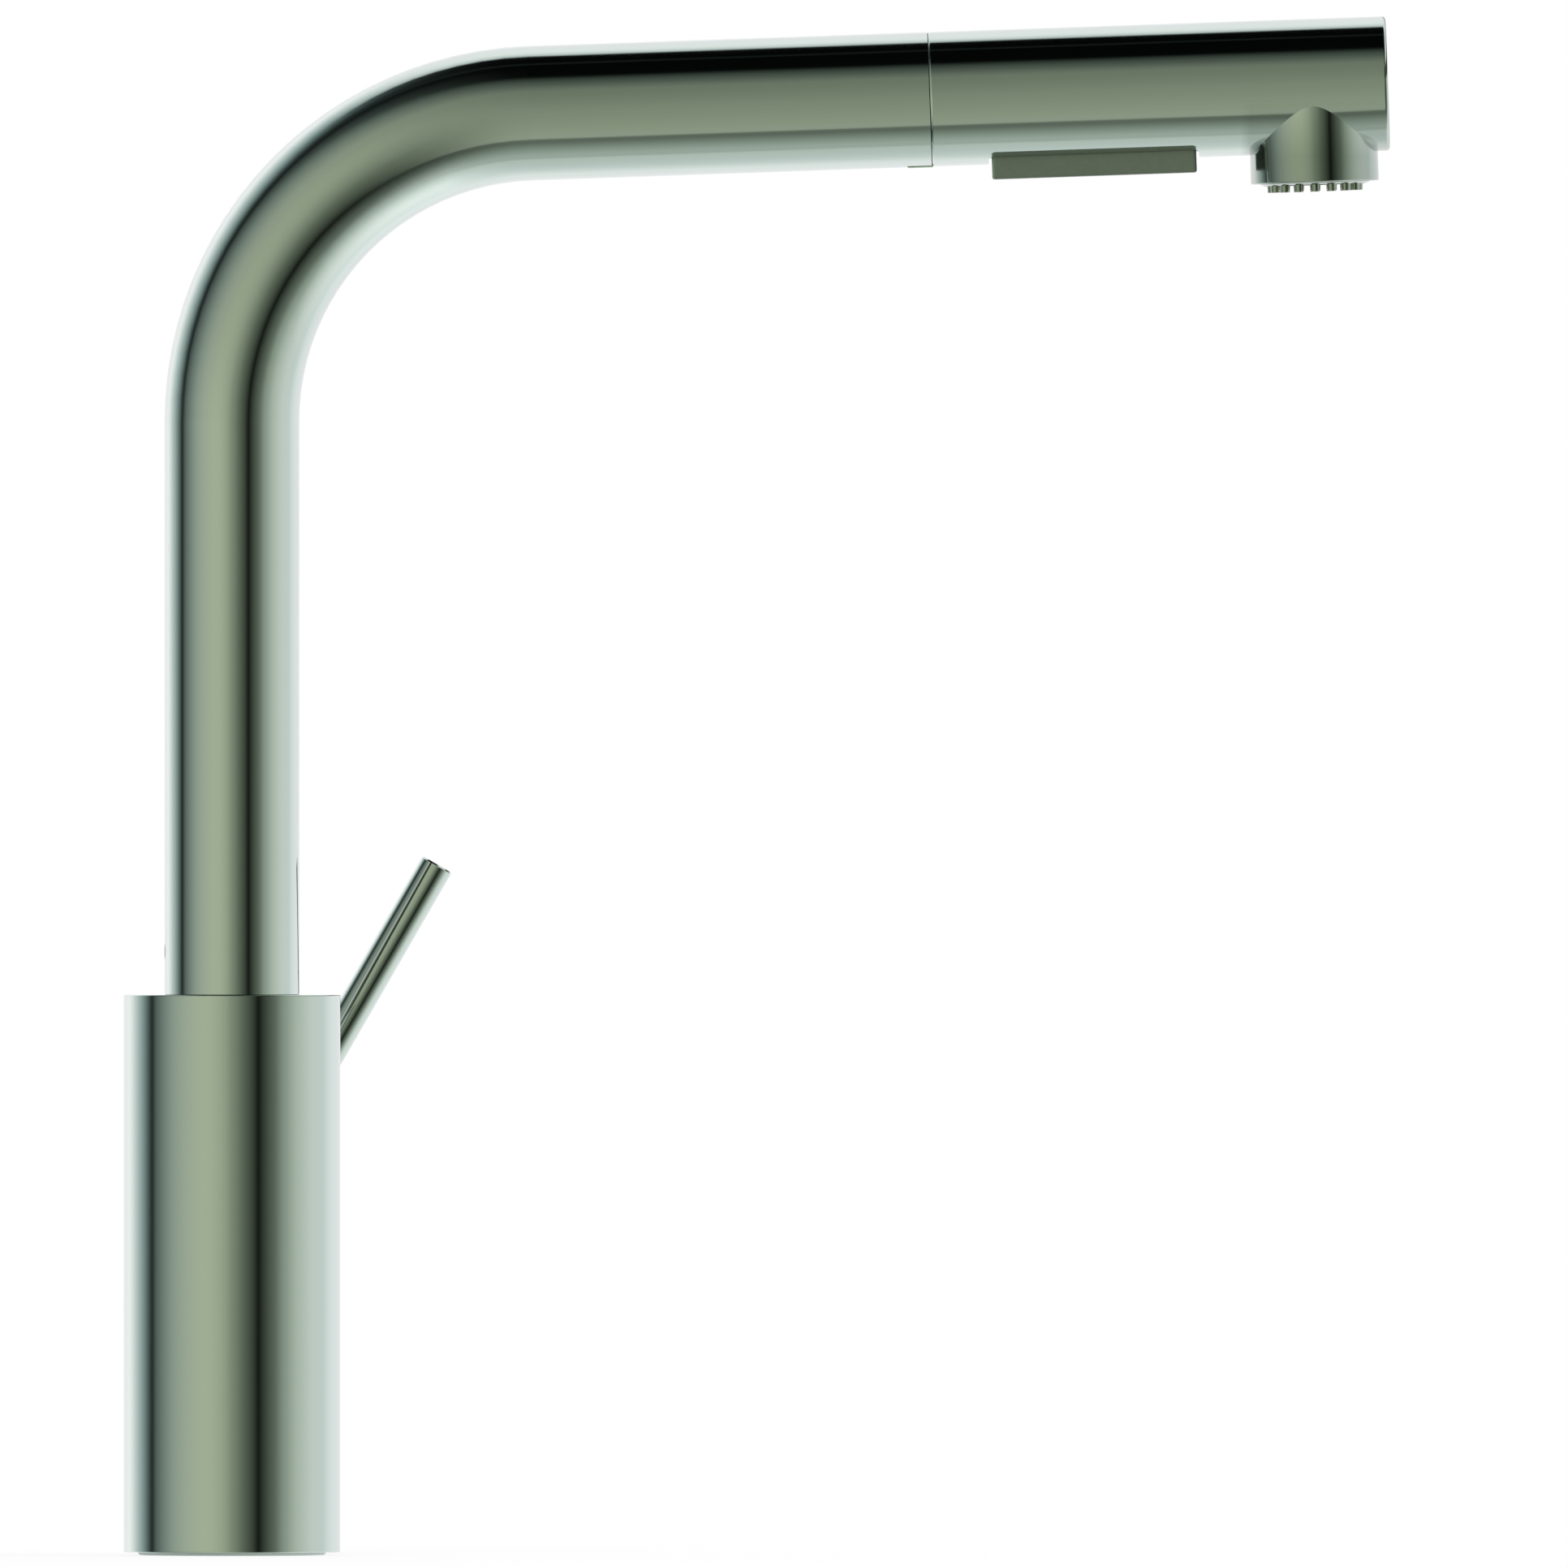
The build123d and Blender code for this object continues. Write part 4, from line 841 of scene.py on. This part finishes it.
winder = bpy.data.objects.new("thread_winder", bpy.data.meshes.new("thread_winder"))
scene.collection.objects.link(winder)
winding = winder.modifiers.new("threads", "NODES")
winding.node_group = threads_tree
sockets = {item.name: item.identifier for item in threads_tree.interface.items_tree}
winding[sockets["Turns"]] = thread_turns
winding[sockets["Depth"]] = thread_depth
winding[sockets["Finish"]] = machined_brass
wound = winder.evaluated_get(bpy.context.evaluated_depsgraph_get())
threads_data = bpy.data.meshes.new_from_object(wound)
bpy.data.objects.remove(winder)
threads_data.name = "socket_threads"
threads_data.materials.clear()
threads_data.materials.append(machined_brass)
for face in threads_data.polygons:
    face.material_index = 0
socket_threads = bpy.data.objects.new("socket_threads", threads_data)
scene.collection.objects.link(socket_threads)
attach(socket_threads, "base")


# === Thin rings: rims, collar and bezel, foot lip, seam seal and lip, and screw seal ===
# The shell's rims, the head's end and the collar's lower edge are rounded, a steel bezel holds
# the nubs' membrane, and the tube's foot ends in a thin turned lip. Black rubber fills the seam
# before the head's sloping lip, and the grub screw's rim.
ring_steps = 256
rim_steps = 12
sharp_corner = math.radians(30)
shell_radius = 0.0225
shell_bottom, shell_top = 0.0006, 0.1164
rim_edge = 0.00025
head_radius = 0.014
head_length = 0.0953
end_edge = 0.0008
proud = 0.000004  # so that a rim covers the solid's own edge
collar_radius = 0.0133 + proud
collar_end = 0.02005
collar_edge = 0.0003
nozzle_place = seam_place + arm_way * 0.07945
screw_height = 0.1254

# The middle of a ring, and its axis and the two directions round it.
deck = Vector((0, 0, 0))
round_body = (deck, Vector((0, 0, 1)), Vector((1, 0, 0)), Vector((0, 1, 0)))
round_seam = (seam_place, arm_way, arm_up, arm_side)
round_nozzle = (nozzle_place, -arm_up, arm_way, -arm_side)
screw_place = Vector((0, 0, screw_height))
round_screw = (screw_place, Vector((-1, 0, 0)), Vector((0, 0, 1)), Vector((0, -1, 0)))
steel = (satin_steel, "satin_steel")
rubber = (black_rubber, "black_rubber")


def rounded_rim(radius, rounding, end, side):
    """A rounded outer corner, from its side to its end, which faces along the axis (1) or
    against it (-1)."""
    inner = radius - rounding
    reach = end - side * rounding
    corner = [(inner, reach)]
    for step in range(rim_steps + 1):
        angle = math.pi / 2 * step / rim_steps
        out = inner + rounding * math.cos(angle)
        corner.append((out, reach + side * rounding * math.sin(angle)))
    return corner


thin_rings = {
    # name: place, material and slot, body, then (radius, way along the axis) round its profile
    "top_rim": (round_body, steel, "base",
                rounded_rim(shell_radius, rim_edge, shell_top, 1)),
    "bottom_rim": (round_body, steel, "base",
                   rounded_rim(shell_radius, rim_edge, shell_bottom, -1)),
    "end_rim": (round_seam, steel, "spray_head",
                rounded_rim(head_radius + proud, end_edge, head_length + proud, 1)),
    "collar_rim": (round_nozzle, steel, "spray_head",
                   [(0.0121, 0.0195), (collar_radius, 0.0195)]
                   + rounded_rim(collar_radius, collar_edge, collar_end, 1)[1:]
                   + [(0.0122, collar_end), (0.0121, collar_end - 0.0001)]),
    "face_rim": (round_nozzle, steel, "spray_head",
                 [(0.0104, 0.0196), (0.0114, 0.0196), (0.0114, 0.02015), (0.0107, 0.02055),
                  (0.0104, 0.02055)]),
    "foot_lip": (round_body, steel, "spout",
                 [(0.01392, 0.1165), (0.01396, 0.11646), (0.014, 0.1165), (0.014, 0.1167),
                  (0.01392, 0.1167)]),
    "seam_seal": (round_seam, rubber, "spray_head",
                  [(0.0106, 0.00001), (0.0137, 0.00001), (0.0138, 0.00008), (0.0137, 0.000165),
                   (0.0106, 0.000165)]),
    "seam_lip": (round_seam, steel, "spray_head",
                 [(0.0136, 0.00017), (0.01384, 0.00017), (0.014, 0.00048), (0.014, 0.00056),
                  (0.0139, 0.00056)]),
    "screw_seal": (round_screw, rubber, "spout",
                   [(0.0014, 0.0136), (0.0019, 0.0136), (0.0019, 0.01386), (0.0016, 0.01399),
                    (0.0014, 0.01399)]),
}
for name, (ring_place, (material, slot), body, profile) in thin_rings.items():
    middle, axis, first_way, second_way = ring_place
    ring_form = bmesh.new()
    hoops = []
    for radius, reach in profile:
        hoop = []
        for step in range(ring_steps):
            angle = math.tau * step / ring_steps
            out = first_way * math.cos(angle) + second_way * math.sin(angle)
            hoop.append(ring_form.verts.new(middle + axis * reach + out * radius))
        hoops.append(hoop)
    for hoop, next_hoop in zip(hoops, hoops[1:] + hoops[:1]):
        for step in range(ring_steps):
            after = (step + 1) % ring_steps
            ring_form.faces.new((hoop[step], hoop[after], next_hoop[after], next_hoop[step]))
    bmesh.ops.recalc_face_normals(ring_form, faces=ring_form.faces)
    ring_data = bpy.data.meshes.new(name)
    ring_form.to_mesh(ring_data)
    ring_form.free()
    ring_data.shade_smooth()
    ring_data.set_sharp_from_angle(angle=sharp_corner)
    ring_data.materials.append(material)
    thin_ring = bpy.data.objects.new(name, ring_data)
    scene.collection.objects.link(thin_ring)
    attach(thin_ring, body)
